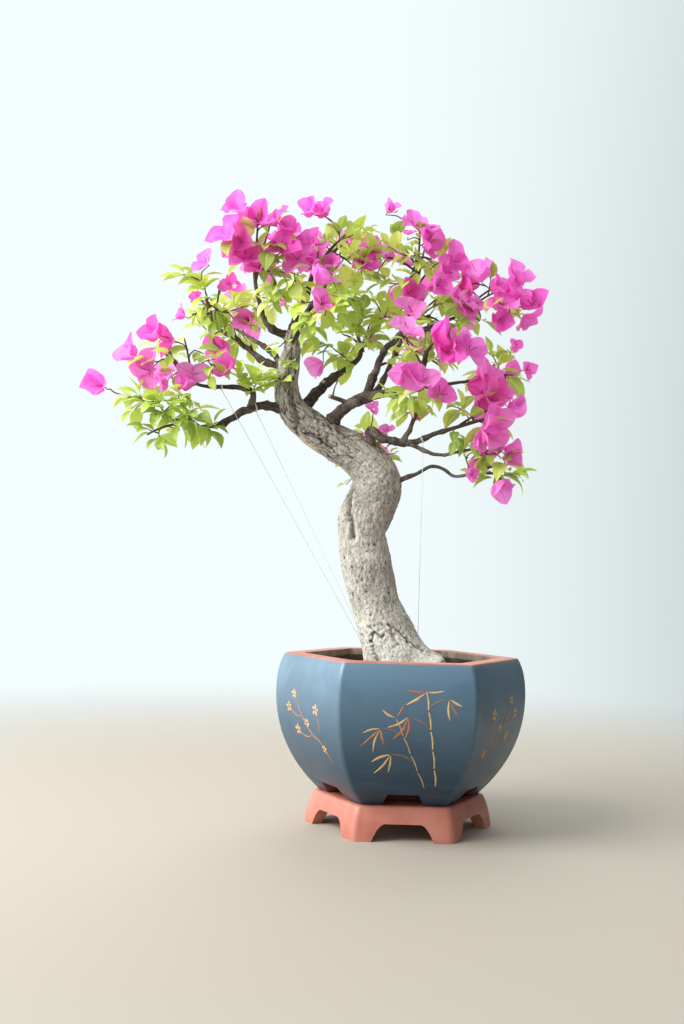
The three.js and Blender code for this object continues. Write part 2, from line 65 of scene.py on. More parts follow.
def hump(value, middle, width):
    return np.exp(-((value - middle) / width) ** 2)


def quadBend(a, b, c, count):
    t = np.linspace(0, 1, count + 1)[:, None]
    a, b, c = (np.asarray(p, float) for p in (a, b, c))
    return (1 - t) ** 2 * a + 2 * t * (1 - t) * b + t * t * c


def noiseAt(points, scale, shift):
    spots = (np.asarray(points) / scale + shift).tolist()
    return np.array([noise.noise(p) for p in spots])


# Distance from the walls between random cells
def cellsAt(points, scale, shift):
    spots = (np.asarray(points) / scale + shift).tolist()
    found = [noise.voronoi(p)[0] for p in spots]
    return np.array([d[1] - d[0] for d in found])


# How far a hexagon's edge lies along an angle, as a share of its corner radius
def hexReach(angle):
    turn = (angle + hexTurn / 2) % hexTurn - hexTurn / 2
    return math.cos(hexTurn / 2) / np.cos(hexTurn / 2 - np.abs(turn))


# The way out from one of the six sides, and the way across it
def sideWays(side):
    turn = -math.pi / 2 + side * hexTurn
    return np.array([math.cos(turn), math.sin(turn), 0]), np.array([-math.sin(turn), math.cos(turn), 0])


# Two ways square to a way and to each other
def crossWays(way, lean):
    side = unit(np.cross(way, upward + lean))
    return side, np.cross(way, side)


# A smooth curve through points, as the limbs in the part's source have it, with its place between them
def limbCurve(points, perSpan=30):
    p = np.asarray(points, float)
    p = np.vstack([2 * p[0] - p[1], p, 2 * p[-1] - p[-2]])
    gaps = np.maximum(np.linalg.norm(np.diff(p, axis=0), axis=1) ** 0.5, 1e-4)
    t = np.linspace(0, 1, perSpan, endpoint=False)[:, None]
    path, spot = [], []
    for i in range(1, len(p) - 2):
        d0, d1, d2 = gaps[i - 1:i + 2]
        m1 = ((p[i] - p[i - 1]) / d0 - (p[i + 1] - p[i - 1]) / (d0 + d1) + (p[i + 1] - p[i]) / d1) * d1
        m2 = ((p[i + 1] - p[i]) / d1 - (p[i + 2] - p[i]) / (d1 + d2) + (p[i + 2] - p[i + 1]) / d2) * d1
        path.append(p[i] + m1 * t + (-3 * p[i] + 3 * p[i + 1] - 2 * m1 - m2) * t ** 2
                    + (2 * p[i] - 2 * p[i + 1] + m1 + m2) * t ** 3)
        spot.append(i - 1 + t[:, 0])
    path.append(p[-2][None])
    spot.append([len(p) - 3])
    return np.vstack(path), np.concatenate(spot)


def lengthsAlong(path):
    return np.concatenate([[0], np.cumsum(np.linalg.norm(np.diff(path, axis=0), axis=1))])


def evenly(path, step, *others):
    run = lengthsAlong(path)
    at = np.linspace(0, run[-1], max(int(round(run[-1] / step)), 2) + 1)
    spread = [np.stack([np.interp(at, run, path[:, k]) for k in range(3)], 1)]
    spread += [np.interp(at, run, other) for other in others]
    return spread if others else spread[0]


def directions(path):
    way = np.gradient(path, axis=0)
    return way / (np.linalg.norm(way, axis=1)[:, None] + tiny)


# Angles round each point of a path, and the ways out from it at them
def raysAlong(path, sides, firstWay=None):
    tangent = directions(path)
    if firstWay is None:
        firstWay = np.eye(3)[np.argmin(np.abs(tangent[0]))]
    side = np.asarray(firstWay, float)
    normal = np.zeros_like(path)
    for i, way in enumerate(tangent):
        side = unit(side - way * (side @ way))
        normal[i] = side
    other = np.cross(tangent, normal)
    angle = np.tile(np.arange(sides) * fullTurn / sides, (len(path), 1))
    return angle, np.cos(angle)[..., None] * normal[:, None] + np.sin(angle)[..., None] * other[:, None]


def newBatch():
    return {"points": [], "faces": [], "slots": [], "count": 0}


def addToBatch(batch, points, faces, slot=0):
    start = batch["count"]
    batch["points"].append(np.asarray(points, float))
    batch["faces"] += [tuple(corner + start for corner in face) for face in faces]
    batch["slots"] += [slot] * len(faces)
    batch["count"] += len(points)


def tubeFaces(rings, sides):
    faces = [
        (r * sides + k, r * sides + (k + 1) % sides, (r + 1) * sides + (k + 1) % sides, (r + 1) * sides + k)
        for r in range(rings - 1) for k in range(sides)
    ]
    last = (rings - 1) * sides
    return faces + [tuple(range(sides))[::-1], tuple(range(last, last + sides))]


def addTube(batch, path, radii, sides, slot=0):
    out = raysAlong(path, sides)[1]
    points = path[:, None] + out * np.asarray(radii, float)[:, None, None]
    addToBatch(batch, points.reshape(-1, 3), tubeFaces(len(path), sides), slot)


# Makes a piece from points in mm round the pot's axis
def makePiece(name, points, faces, materials, slots=None, attributes=None):
    mesh = bpy.data.meshes.new(name)
    mesh.from_pydata(inFrame(points).tolist(), [], faces, shade_flat=False)
    for material in materials:
        mesh.materials.append(material)
    if slots is not None:
        mesh.polygons.foreach_set("material_index", np.asarray(slots, np.int32))
    for key, values in (attributes or {}).items():
        layer = mesh.attributes.new(key, "FLOAT", "POINT")
        layer.data.foreach_set("value", np.asarray(values, np.float32))
    mesh.update()
    piece = bpy.data.objects.new(name, mesh)
    bpy.context.scene.collection.objects.link(piece)
    return piece


def makeBatch(name, batch, materials, attributes=None):
    return makePiece(name, np.vstack(batch["points"]), batch["faces"], materials, batch["slots"], attributes)


# Says what a piece rides on and hides the nodes it stands for
def settle(piece, slotName, *nodes):
    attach(piece, "root")
    if nodes:
        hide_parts(*nodes)
    print(piece.name, len(piece.data.polygons), "faces")


# Camera, at the photograph's place and tilt

cameraSet = {
    "place": (-75.68, -1259.54, 284.32),
    "tiltUp": 3.656,
    "roll": 1.594,
    "focalPixels": 1051.34,
    "framePixels": 1024,
    "nearest": 0.05,
}


def setCamera():
    data = bpy.data.cameras.new("photo_camera")
    data.lens = data.sensor_width * cameraSet["focalPixels"] / cameraSet["framePixels"]
    data.clip_start = cameraSet["nearest"]
    camera = bpy.data.objects.new("photo_camera", data)
    bpy.context.scene.collection.objects.link(camera)
    tilt = Matrix.Rotation(math.radians(90 + cameraSet["tiltUp"]), 4, "X")
    roll = Matrix.Rotation(math.radians(cameraSet["roll"]), 4, "Z")
    camera.matrix_world = Matrix.Translation(inFrame(cameraSet["place"]).tolist()) @ tilt @ roll
    bpy.context.scene.camera = camera


setCamera()
print("camera set")


# Finishes

def tone(red, green, blue):
    shares = np.array([red, green, blue]) / 255
    linear = np.where(shares <= 0.04045, shares / 12.92, ((shares + 0.055) / 1.055) ** 2.4)
    return (*linear.tolist(), 1.0)


def feed(tree, socket, value):
    if isinstance(value, bpy.types.NodeSocket):
        tree.links.new(value, socket)
    else:
        socket.default_value = value


def put(tree, kind, wires=None, **settings):
    node = tree.nodes.new(kind)
    for key, value in settings.items():
        setattr(node, key, value)
    for socket, value in (wires or {}).items():
        feed(tree, node.inputs[socket], value)
    return node


def reckon(tree, operation, *values):
    return put(tree, "ShaderNodeMath", dict(enumerate(values)), operation=operation).outputs[0]


def ramp(tree, value, fromMin, fromMax, toMin=0.0, toMax=1.0, kind="LINEAR"):
    wires = {"Value": value, "From Min": fromMin, "From Max": fromMax, "To Min": toMin, "To Max": toMax}
    return put(tree, "ShaderNodeMapRange", wires, interpolation_type=kind).outputs[0]


def newGroup(name, inputs, output):
    tree = bpy.data.node_groups.new(name, "ShaderNodeTree")
    tree.interface.new_socket(name="Vector", in_out="INPUT", socket_type="NodeSocketVector")
    for socket, value in inputs.items():
        made = tree.interface.new_socket(name=socket, in_out="INPUT", socket_type="NodeSocketFloat")
        made.default_value = value
    tree.interface.new_socket(name=output, in_out="OUTPUT", socket_type="NodeSocketFloat")
    return tree, tree.nodes.new("NodeGroupInput").outputs, tree.nodes.new("NodeGroupOutput").inputs


# Spots of a given size where noise passes a threshold
def makeSpotGroup():
    tree, given, out = newGroup("spots", {"Scale": 300.0, "Cover": 0.4, "Blur": 0.06}, "Mask")
    wires = {"Vector": given["Vector"], "Scale": given["Scale"], "Detail": 3.0, "Roughness": 0.6}
    cloud = put(tree, "ShaderNodeTexNoise", wires).outputs[0]
    low = reckon(tree, "SUBTRACT", 1.0, given["Cover"])
    high = reckon(tree, "ADD", low, given["Blur"])
    tree.links.new(ramp(tree, cloud, low, high), out["Mask"])
    return tree


# Distance from the nearest of the six upright corners round the axis, as a mask that fades over a width
def makeArrisGroup():
    tree, given, out = newGroup("arris", {"Width": 0.008}, "Mask")
    x, y, _ = put(tree, "ShaderNodeSeparateXYZ", {0: given["Vector"]}).outputs
    off = reckon(tree, "PINGPONG", reckon(tree, "ARCTAN2", y, x), hexTurn / 2)
    flat = put(tree, "ShaderNodeCombineXYZ", {0: x, 1: y}).outputs[0]
    reach = put(tree, "ShaderNodeVectorMath", {0: flat}, operation="LENGTH").outputs["Value"]
    gap = reckon(tree, "MULTIPLY", off, reach)
    tree.links.new(ramp(tree, gap, 0.0, given["Width"], 1.0, 0.0, "SMOOTHSTEP"), out["Mask"])
    return tree


# Fine height for matt and rough surfaces
def makeGrainGroup():
    tree, given, out = newGroup("grain", {"Scale": 800.0, "Coarse": 120.0}, "Height")
    fine, broad = (
        put(tree, "ShaderNodeTexNoise", {"Vector": given["Vector"], "Scale": given[size], "Detail": detail})
        for size, detail in (("Scale", 4.0), ("Coarse", 3.0)))
    tree.links.new(reckon(tree, "ADD", fine.outputs[0], broad.outputs[0]), out["Height"])
    return tree


spotGroup = makeSpotGroup()
arrisGroup = makeArrisGroup()
grainGroup = makeGrainGroup()


# A material whose colours are laid on one over another, in coordinates round the pot's axis
class Finish:
    def __init__(self, name, roughness, colour):
        self.material = bpy.data.materials.new(name)
        self.material.use_nodes = True
        self.tree = self.material.node_tree
        self.shader = self.tree.nodes["Principled BSDF"]
        self.set("Roughness", roughness)
        whole = put(self.tree, "ShaderNodeTexCoord").outputs["Object"]
        wires = {"Vector": whole, "Location": (-potAxis * mm).tolist()}
        self.spot = put(self.tree, "ShaderNodeMapping", wires).outputs[0]
        self.colour = tone(*colour)

    def set(self, socket, value):
        feed(self.tree, self.shader.inputs[socket], value)

    def group(self, tree, wires):
        return put(self.tree, "ShaderNodeGroup", {"Vector": self.spot, **wires}, node_tree=tree).outputs[0]

    def spots(self, scale, cover, blur, **wires):
        return self.group(spotGroup, {"Scale": scale, "Cover": cover, "Blur": blur, **wires})

    def arris(self, width):
        return self.group(arrisGroup, {"Width": width})

    def lay(self, mask, colour, strength=1.0):
        if strength != 1.0:
            mask = reckon(self.tree, "MULTIPLY", mask, strength)
        wires = {0: mask, 6: self.colour, 7: tone(*colour)}
        self.colour = put(self.tree, "ShaderNodeMix", wires, data_type="RGBA").outputs[2]

    def roughen(self, scale, coarse, strength, distance):
        height = self.group(grainGroup, {"Scale": scale, "Coarse": coarse})
        wires = {"Height": height, "Strength": strength, "Distance": distance}
        self.set("Normal", put(self.tree, "ShaderNodeBump", wires).outputs[0])

    def done(self):
        self.set("Base Color", self.colour)
        return self.material


# Lets part of a surface be another shader
def mixSurface(material, share, other):
    tree = material.node_tree
    wires = {0: share, 1: tree.nodes["Principled BSDF"].outputs[0], 2: other.outputs[0]}
    both = put(tree, "ShaderNodeMixShader", wires)
    tree.links.new(both.outputs[0], tree.nodes["Material Output"].inputs["Surface"])


# Smooth red clay, for the stand and the pot's bare rim and notches
def clayFinish(name, body, pale, dusk, roughness, stain=0.0):
    clay = Finish(name, roughness, body)
    clay.lay(clay.spots(28, 0.62, 0.3), pale, 0.6)
    clay.lay(clay.spots(900, 0.36, 0.05), dusk, 0.45)
    if stain:
        clay.lay(clay.spots(45, 0.55, 0.2), dusk, stain)
    clay.lay(clay.arris(0.007), pale, 0.35)
    clay.roughen(1100, 160, 0.25, 0.0004)
    return clay.done()


# Satin slate-blue slip, brushed on, paler upward as painted light from above, with a painted highlight along
# its corners
def slipFinish():
    slip = Finish("slate_slip", 0.5, (6, 54, 79))
    slip.set("Specular IOR Level", 0.48)
    slip.set("Coat Weight", 0.4)
    slip.set("Coat Roughness", 0.36)
    # painted light and shade: the dark tone low down turns pale towards the rim, as if lit from above
    height = put(slip.tree, "ShaderNodeSeparateXYZ", {0: slip.spot}).outputs[2]
    slip.lay(ramp(slip.tree, height, 0.068, 0.18), (92, 121, 143))
    brushed = put(slip.tree, "ShaderNodeMapping", {"Vector": slip.spot, "Scale": (1.0, 1.0, 7.0)}).outputs[0]
    slip.lay(slip.spots(26, 0.55, 0.3, Vector=brushed), (70, 106, 126), 0.22)
    cloud = slip.spots(16, 0.5, 0.25)
    slip.lay(cloud, (24, 64, 86), 0.35)
    slip.lay(slip.spots(700, 0.34, 0.05), (34, 54, 68), 0.4)
    arris = slip.arris(0.0045)
    # a painted highlight along the upright corners
    slip.lay(arris, (112, 136, 150), 0.16)
    slip.lay(reckon(slip.tree, "MULTIPLY", slip.spots(240, 0.42, 0.05), arris), (140, 150, 152), 0.1)
    slip.set("Roughness", ramp(slip.tree, cloud, 0.0, 1.0, 0.38, 0.5))
    slip.roughen(1000, 140, 0.22, 0.0004)
    return slip.done()


barkLayers = ("relief", "pale", "crack_shade", "bare")


# Bark: hollows of its relief dark, ridges pale, specks and rusty flecks over both
def barkFinish(name, deep, mid, ridge, pale, rust, scale, bump):
    bark = Finish(name, 0.92, deep)
    bark.set("Specular IOR Level", 0.2)
    relief, paleness, crack_shade, bare = (
        put(bark.tree, "ShaderNodeAttribute", attribute_name=key).outputs["Fac"] for key in barkLayers)
    bark.lay(ramp(bark.tree, relief, 0.05, 0.5), mid)
    bark.lay(ramp(bark.tree, relief, 0.5, 0.95), ridge)
    bark.lay(paleness, pale, 0.85)
    bark.lay(bark.spots(scale * 0.4, 0.43, 0.08), rust, 0.5)
    bark.lay(bark.spots(scale * 0.8, 0.4, 0.06), ridge, 0.55)
    bark.lay(bark.spots(scale, 0.42, 0.05), (66, 58, 51), 0.62)
    bark.lay(bark.spots(scale * 0.5, 0.37, 0.04), (62, 53, 45), 0.8)
    # painted shade in cracks, creases, hollows and pits
    bark.lay(crack_shade, (52, 44, 38), 0.9)
    bark.lay(bare, (228, 202, 172), 0.85)
    bark.roughen(900, 300, bump, 0.0012)
    return bark.done()


def soilFinish():
    soil = Finish("potting_soil", 0.95, (84, 68, 54))
    soil.lay(soil.spots(60, 0.5, 0.25), (112, 94, 76))
    soil.lay(soil.spots(600, 0.42, 0.06), (48, 38, 31), 0.8)
    soil.roughen(900, 250, 0.6, 0.001)
    return soil.done()


# Brush colour laid thin, one tone breaking through the other
def strokeFinish(name, colour, under):
    stroke = Finish(name, 0.55, colour)
    stroke.lay(stroke.spots(170, 0.5, 0.15), under, 0.6)
    return stroke.done()


def plainFinish(name, colour, roughness, metallic=0.0):
    material = bpy.data.materials.new(name)
    material.use_nodes = True
    shader = material.node_tree.nodes["Principled BSDF"]
    shader.inputs["Base Color"].default_value = tone(*colour)
    shader.inputs["Roughness"].default_value = roughness
    shader.inputs["Metallic"].default_value = metallic
    return material


# Thin living tissue: part of the light comes through it
def tissueFinish(name, colour, through, roughness, share):
    material = plainFinish(name, colour, roughness)
    tree = material.node_tree
    tree.nodes["Principled BSDF"].inputs["Specular IOR Level"].default_value = 0.35
    mixSurface(material, share, put(tree, "ShaderNodeBsdfTranslucent", {"Color": tone(*through)}))
    return material


redClay = clayFinish("red_clay", (182, 104, 87), (210, 141, 123), (136, 70, 54), 0.42)
rimClay = clayFinish("rim_clay", (172, 106, 88), (200, 140, 120), (126, 78, 62), 0.65, 0.3)
# clay darkened with painted shade, for the notches' insides and the pot's underside, with stain spots over it
notchShadeClay = clayFinish("notch_shade_clay", (104, 54, 42), (130, 74, 60), (62, 34, 28), 0.8, 0.5)
innerClay = clayFinish("stained_inner_clay", (150, 134, 118), (186, 170, 152), (96, 82, 70), 0.85, 0.7)
slateSlip = slipFinish()
pottingSoil = soilFinish()
soilGrit = plainFinish("soil_grit", (132, 112, 92), 0.95)
trunkBark = barkFinish("trunk_bark", (102, 95, 86), (164, 158, 148), (202, 197, 187), (244, 240, 230),
                       (160, 136, 112), 520.0, 0.7)
boughBark = barkFinish("bough_bark", (42, 36, 32), (92, 82, 75), (138, 128, 117), (152, 142, 130),
                       (100, 80, 64), 420.0, 0.6)
twigBark = plainFinish("twig_bark", (84, 68, 56), 0.85)
shootBark = plainFinish("shoot_bark", (112, 98, 58), 0.75)
goldLine = strokeFinish("gold_line", (216, 178, 116), (186, 120, 76))
rustLine = strokeFinish("rust_line", (176, 104, 70), (206, 158, 100))
wireMetal = plainFinish("pale_wire", (226, 230, 232), 0.4, 0.3)
print("finishes made")


# Stand and pot: six-sided forms raised by extruding, with their arches and notches cut

def selectOnly(piece):
    bpy.ops.object.select_all(action="DESELECT")
    piece.select_set(True)
    bpy.context.view_layer.objects.active = piece


# Joins a closed piece's doubled points and turns its faces outward
def closeUp(piece):
    selectOnly(piece)
    bpy.ops.object.mode_set(mode="EDIT")
    bpy.ops.mesh.select_all(action="SELECT")
    bpy.ops.mesh.remove_doubles(threshold=1e-6)
    bpy.ops.mesh.normals_make_consistent(inside=False)
    bpy.ops.object.mode_set(mode="OBJECT")


# Raises a hexagon through an outline of (corner radius, height)
def raiseHex(name, outline):
    bpy.ops.object.select_all(action="DESELECT")
    radius, height = outline[0]
    bpy.ops.mesh.primitive_circle_add(vertices=6, radius=radius * mm, fill_type="NGON",
                                      location=inFrame((0, 0, height)).tolist(), rotation=(0, 0, hexTurn / 2))
    piece = bpy.context.object
    piece.name = piece.data.name = name
    bpy.ops.object.transform_apply(location=True, rotation=True, scale=True)
    bpy.ops.object.mode_set(mode="EDIT")
    bpy.ops.mesh.select_mode(type="FACE")
    bpy.ops.mesh.select_all(action="SELECT")
    for (r0, z0), (r1, z1) in zip(outline, outline[1:]):
        bpy.ops.mesh.extrude_region_move(TRANSFORM_OT_translate={"value": (0, 0, (z1 - z0) * mm)})
        share = r1 / r0
        bpy.ops.transform.resize(value=(share, share, 1), center_override=inFrame((0, 0, z1)).tolist())
    bpy.ops.object.mode_set(mode="OBJECT")
    closeUp(piece)
    return piece


# Rounds the upright corners on the outside
def roundCorners(piece, lowest, highest, innermost, width, segments):
    selectOnly(piece)
    mesh = piece.data
    points = np.array([v.co for v in mesh.vertices]) / mm - potAxis
    bpy.ops.object.mode_set(mode="EDIT")
    bpy.ops.mesh.select_mode(type="EDGE")
    bpy.ops.mesh.select_all(action="DESELECT")
    bpy.ops.object.mode_set(mode="OBJECT")
    for edge in mesh.edges:
        a, b = (points[i] for i in edge.vertices)
        turned = abs(math.atan2(a[0] * b[1] - a[1] * b[0], a[0] * b[0] + a[1] * b[1]))
        outside = min(np.hypot(*a[:2]), np.hypot(*b[:2])) > innermost
        within = min(a[2], b[2]) >= lowest - 0.01 and max(a[2], b[2]) <= highest + 0.01
        edge.select = turned < 0.01 and outside and within and abs(a[2] - b[2]) > 0.1
    bpy.ops.object.mode_set(mode="EDIT")
    bpy.ops.mesh.bevel(offset=width * mm, segments=segments, affect="EDGES", clamp_overlap=True)
    bpy.ops.object.mode_set(mode="OBJECT")


# Cuts one opening through the middle of each side, shaped by half an outline of (across, height)
def cutSides(piece, half, inner, outer):
    outline = half + [(-u, z) for u, z in reversed(half)]
    count = len(outline)
    faces = [tuple(range(count))[::-1], tuple(range(count, 2 * count))]
    faces += [(k, (k + 1) % count, (k + 1) % count + count, k + count) for k in range(count)]
    for side in range(6):
        out, across = sideWays(side)
        rings = [[out * reach + across * u + upward * z for u, z in outline] for reach in (inner, outer)]
        cutter = makePiece("side_cutter", np.vstack(rings), faces, [])
        closeUp(cutter)
        selectOnly(piece)
        cut = piece.modifiers.new("side_cut", "BOOLEAN")
        cut.operation = "DIFFERENCE"
        cut.solver = "EXACT"
        cut.object = cutter
        bpy.ops.object.modifier_apply(modifier=cut.name)
        bpy.data.objects.remove(cutter)


def softenEdges(piece, width, segments, angle):
    selectOnly(piece)
    soft = piece.modifiers.new("soft_edges", "BEVEL")
    soft.width = width * mm
    soft.segments = segments
    soft.limit_method = "ANGLE"
    soft.angle_limit = math.radians(angle)
    soft.harden_normals = False
    bpy.ops.object.modifier_apply(modifier=soft.name)
    bpy.ops.object.shade_smooth_by_angle(angle=math.radians(32))


def paintFaces(piece, materials, rule):
    piece.data.materials.clear()
    for material in materials:
        piece.data.materials.append(material)
    for face in piece.data.polygons:
        face.material_index = rule(np.array(face.center) / mm - potAxis)


standSet = {
    "height": 37, "topRadius": 101, "footRadius": 111, "legWall": 15, "plate": 10, "edge": 3,
    "archWidth": 69, "archFlat": 38, "archHeight": 19, "archBow": 8, "cornerRound": 6, "softEdge": 2.0,
}


def makeStand():
    s = standSet
    top, foot, height, edge = s["topRadius"], s["footRadius"], s["height"], s["edge"]
    shoulder = (top + edge / 2, height - edge)
    outline = [(top - s["legWall"], height - s["plate"]), (foot - s["legWall"], 0)]
    outline += quadBend((foot, 0), (foot - 1, height / 2), shoulder, 10).tolist()
    outline += quadBend(shoulder, (top, height), (top - edge, height), 4).tolist()[1:]
    piece = raiseHex("stand_body", outline)
    roundCorners(piece, 0, height, top - edge - 0.5, s["cornerRound"], 4)
    half, rise = s["archWidth"] / 2, s["archHeight"]
    bow = quadBend((half, 0), (half - s["archBow"], rise), (s["archFlat"] / 2, rise), 9)
    cutSides(piece, [(half, -2)] + bow.tolist(), foot / 2, foot * 1.2)
    softenEdges(piece, s["softEdge"], 3, 28)
    paintFaces(piece, [redClay], lambda centre: 0)
    settle(piece, "stand_clay", "stand")


potSet = {
    "foot": 37.3, "height": 159, "footRadius": 95, "bellyRadius": 149, "bellyHeight": 115, "bellyPull": 48,
    "rimRadius": 140, "wall": 12, "lip": 23, "lipDepth": 8, "floor": 21, "edge": 1.5, "rimBand": 2.4,
    "skin": 3.5, "notchFoot": 46, "notchTop": 34, "notchHeight": 13.5, "notchDepth": 26,
    "cornerRound": 3.6, "softEdge": 0.9,
}
potRim = potSet["foot"] + potSet["height"]
soilTop = potRim - 22


# The pot's outer profile as rows of (corner radius, height)
def potOutside():
    p = potSet
    foot, widest = p["foot"], p["bellyRadius"]
    belly = (widest, foot + p["bellyHeight"])
    low = quadBend((p["footRadius"], foot), (widest, foot + p["bellyPull"]), belly, 16)
    high = quadBend(belly, (widest, foot + p["height"] * 0.9), (p["rimRadius"], potRim - p["edge"]), 7)
    return np.vstack([low, high[1:]])


potProfile = potOutside()


def potRadius(height):
    return np.interp(height, potProfile[:, 1], potProfile[:, 0])


def makePot():
    p = potSet
    foot, rim = p["foot"], p["rimRadius"]
    inner = p["bellyRadius"] - p["wall"]
    lipFoot = potRim - p["lipDepth"]
    outline = potProfile.tolist() + [(rim - p["edge"], potRim), (rim - p["lip"], potRim)]
    outline += [(rim - p["lip"], lipFoot), (inner, lipFoot - p["lip"] / 2)]
    outline += quadBend((inner, foot + p["bellyHeight"]), (inner, foot + p["bellyPull"] + p["wall"]),
                        (p["footRadius"] - p["wall"] / 2, foot + p["floor"]), 8).tolist()
    piece = raiseHex("pot_body", outline)
    roundCorners(piece, foot, potRim, p["footRadius"] - 1, p["cornerRound"], 5)
    notch = [(p["notchFoot"] / 2, foot - 1), (p["notchTop"] / 2, foot + p["notchHeight"])]
    flat = p["footRadius"] * math.cos(hexTurn / 2)
    cutSides(piece, notch, flat - p["notchDepth"], p["footRadius"] * 1.3)
    softenEdges(piece, p["softEdge"], 3, 40)

    def finishOf(centre):
        x, y, z = centre
        if z > potRim - p["rimBand"]:
            return 1
        if np.hypot(x, y) / hexReach(math.atan2(y, x)) > potRadius(z) - p["skin"]:
            return 0
        # below the floor: the notches' insides and the foot, in clay with painted shade
        return 2 if z > foot + p["floor"] - 1 else 3

    paintFaces(piece, [slateSlip, rimClay, innerClay, notchShadeClay], finishOf)
    settle(piece, "pot_slip", "pot")


makeStand()
makePot()


# Brushwork on the pot's sides: bamboo on two sides, plum twigs on the other four, in raised strokes

brushSet = {
    "step": 2.2,
    # a stroke's section: place across its half width, and how far it stands out
    "section": ((-1, -0.25), (-0.5, 0.28), (0, 0.4), (0.5, 0.28), (1, -0.25)),
    # the rest is in (across, height) on a side of the pot
    "canes": [((34, 62), (20, 168), 2.6, 5), ((22, 60), (-12, 138), 1.7, 4)],
    "sprigs": [((25, 128), (2, 140)), ((22, 150), (44, 160)), ((8, 92), (-16, 99)), ((-4, 120), (-28, 127))],
    "tufts": [
        ((2, 140), (-62, -34, -8), (24, 28, 22)), ((44, 160), (62, 30, 4), (15, 20, 22)),
        ((-16, 99), (-66, -38, -6), (21, 27, 20)), ((-28, 127), (-74, -46, -16, 14), (18, 27, 26, 17)),
        ((20, 166), (-96, -58, 96), (20, 24, 18)), ((-12, 138), (-120, 150), (16, 15)),
    ],
    "branch": [(-44, 84), (-26, 104), (-12, 110), (8, 128), (26, 152)],
    "twigs": [[(-12, 110), (4, 106), (22, 112)], [(-26, 104), (-30, 122), (-24, 138)],
              [(8, 128), (22, 128), (38, 136)]],
    "blooms": [(22, 112, 6.2), (-24, 139, 6.6), (26, 152, 5.4), (39, 136, 6.0), (-2, 122, 5.6),
               (-33, 97, 4.8)],
    "sprigWidth": 1.1, "leafWidth": (2.6, 3.8), "leafBow": 0.1, "rustShare": 0.3,
    "branchWidth": 2.6, "twigWidth": 1.5, "petalWidth": 0.72,  # the last a share of the bloom's size
    # sides and whether each is mirrored
    "bambooSides": ((0, 1), (3, -1)),
    "plumSides": ((1, 1), (2, -1), (4, 1), (5, -1)),
}


# A point on a side of the pot: across and height on it, and how far it stands out
def onSide(side, across, height, lift):
    out, wise = sideWays(side)
    flat = math.cos(hexTurn / 2)
    slope = (potRadius(height + 1) - potRadius(height - 1)) / 2
    normal = unit(out - upward * slope * flat)
    return out * (potRadius(height) * flat) + wise * across + upward * height + normal * lift


# One stroke along a line, swelling to its width and pointed or blunt at its ends
def addStroke(batch, face, line, width, slot, blunt=0.0):
    side, mirror = face
    section = brushSet["section"]
    flat = np.array([(mirror * u, z, 0) for u, z in line], float)
    path = evenly(limbCurve(flat, 12)[0], brushSet["step"])
    share = np.linspace(0, 1, len(path))
    swell = np.maximum(np.sin(math.pi * np.clip(share, 0.02, 0.98)) ** 0.75, blunt) * width / 2
    rows = zip(path, directions(path), swell)
    points = [onSide(side, u - dz * half * edge, z + du * half * edge, lift)
              for (u, z, _), (du, dz, _), half in rows for edge, lift in section]
    n = len(section)
    faces = [(n * r + k, n * r + k + 1, n * r + k + n + 1, n * r + k + n)
             for r in range(len(path) - 1) for k in range(n - 1)]
    addToBatch(batch, points, faces, slot)


def addBamboo(batch, face, rng):
    for foot, head, width, joints in brushSet["canes"]:
        foot, head = np.array(foot), np.array(head)
        for k in range(joints):
            low, high = (foot + (head - foot) * at / joints for at in (k + 0.05, k + 0.95))
            addStroke(batch, face, (low, (low + high) / 2 + (0.8, 0), high), width, 0, 0.75)
    for (u, z), (tipU, tipZ) in brushSet["sprigs"]:
        addStroke(batch, face, [(u, z), ((u + tipU) / 2, (z + tipZ) / 2 + 2), (tipU, tipZ)],
                  brushSet["sprigWidth"], 1)
    mostBow = brushSet["leafBow"]
    for place, turns, lengths in brushSet["tufts"]:
        for turn, length in zip(turns, lengths):
            angle = math.radians(turn)
            way = np.array([math.sin(angle), -math.cos(angle)])
            bow = np.array([way[1], -way[0]]) * length * rng.uniform(-mostBow, mostBow)
            root = np.array(place) + way * 1.5
            slot = int(rng.random() < brushSet["rustShare"])
            line = [root, root + way * length * 0.5 + bow, root + way * length]
            addStroke(batch, face, line, rng.uniform(*brushSet["leafWidth"]), slot)


def addPlum(batch, face, rng):
    side, mirror = face
    addStroke(batch, face, brushSet["branch"], brushSet["branchWidth"], 1, 0.35)
    for line in brushSet["twigs"]:
        addStroke(batch, face, line, brushSet["twigWidth"], 1, 0.25)
    for u, z, size in brushSet["blooms"]:
        first = rng.uniform(0, hexTurn)
        for petal in range(5):
            angle = first + petal * fullTurn / 5
            way = np.array([math.cos(angle), math.sin(angle)])
            line = [np.array([mirror * u, z]) + way * size * t for t in (0.22, 0.6, 1.0)]
            addStroke(batch, (side, 1), line, size * brushSet["petalWidth"], 0, 0.45)


def makeBrushwork():
    batch = newBatch()
    rng = np.random.default_rng(11)
    for face in brushSet["bambooSides"]:
        addBamboo(batch, face, rng)
    for face in brushSet["plumSides"]:
        addPlum(batch, face, rng)
    settle(makeBatch("pot_brushwork", batch, [goldLine, rustLine]), "pot_slip")


makeBrushwork()


# Soil: a lumpy surface with loose grit on it, in the pot's six-sided mouth

soilSet = {
    "corner": 136.6, "top": soilTop, "depth": 14, "rings": 74, "perSide": 26, "mound": 5.0,
    "below": 1.5, "moundWidth": 62, "trunkAt": 8, "edgeSink": 1.2, "edgeFrom": (96, 120),
    # height, scale and shift of each noise
    "lumps": ((1.6, 19, 3.1), (1.1, 6.5, 8.4)), "crumbs": (1.3, 4.6, 5.2),
    "grit": 1500, "gritMargin": 6, "gritSize": (0.9, 2.6),
}


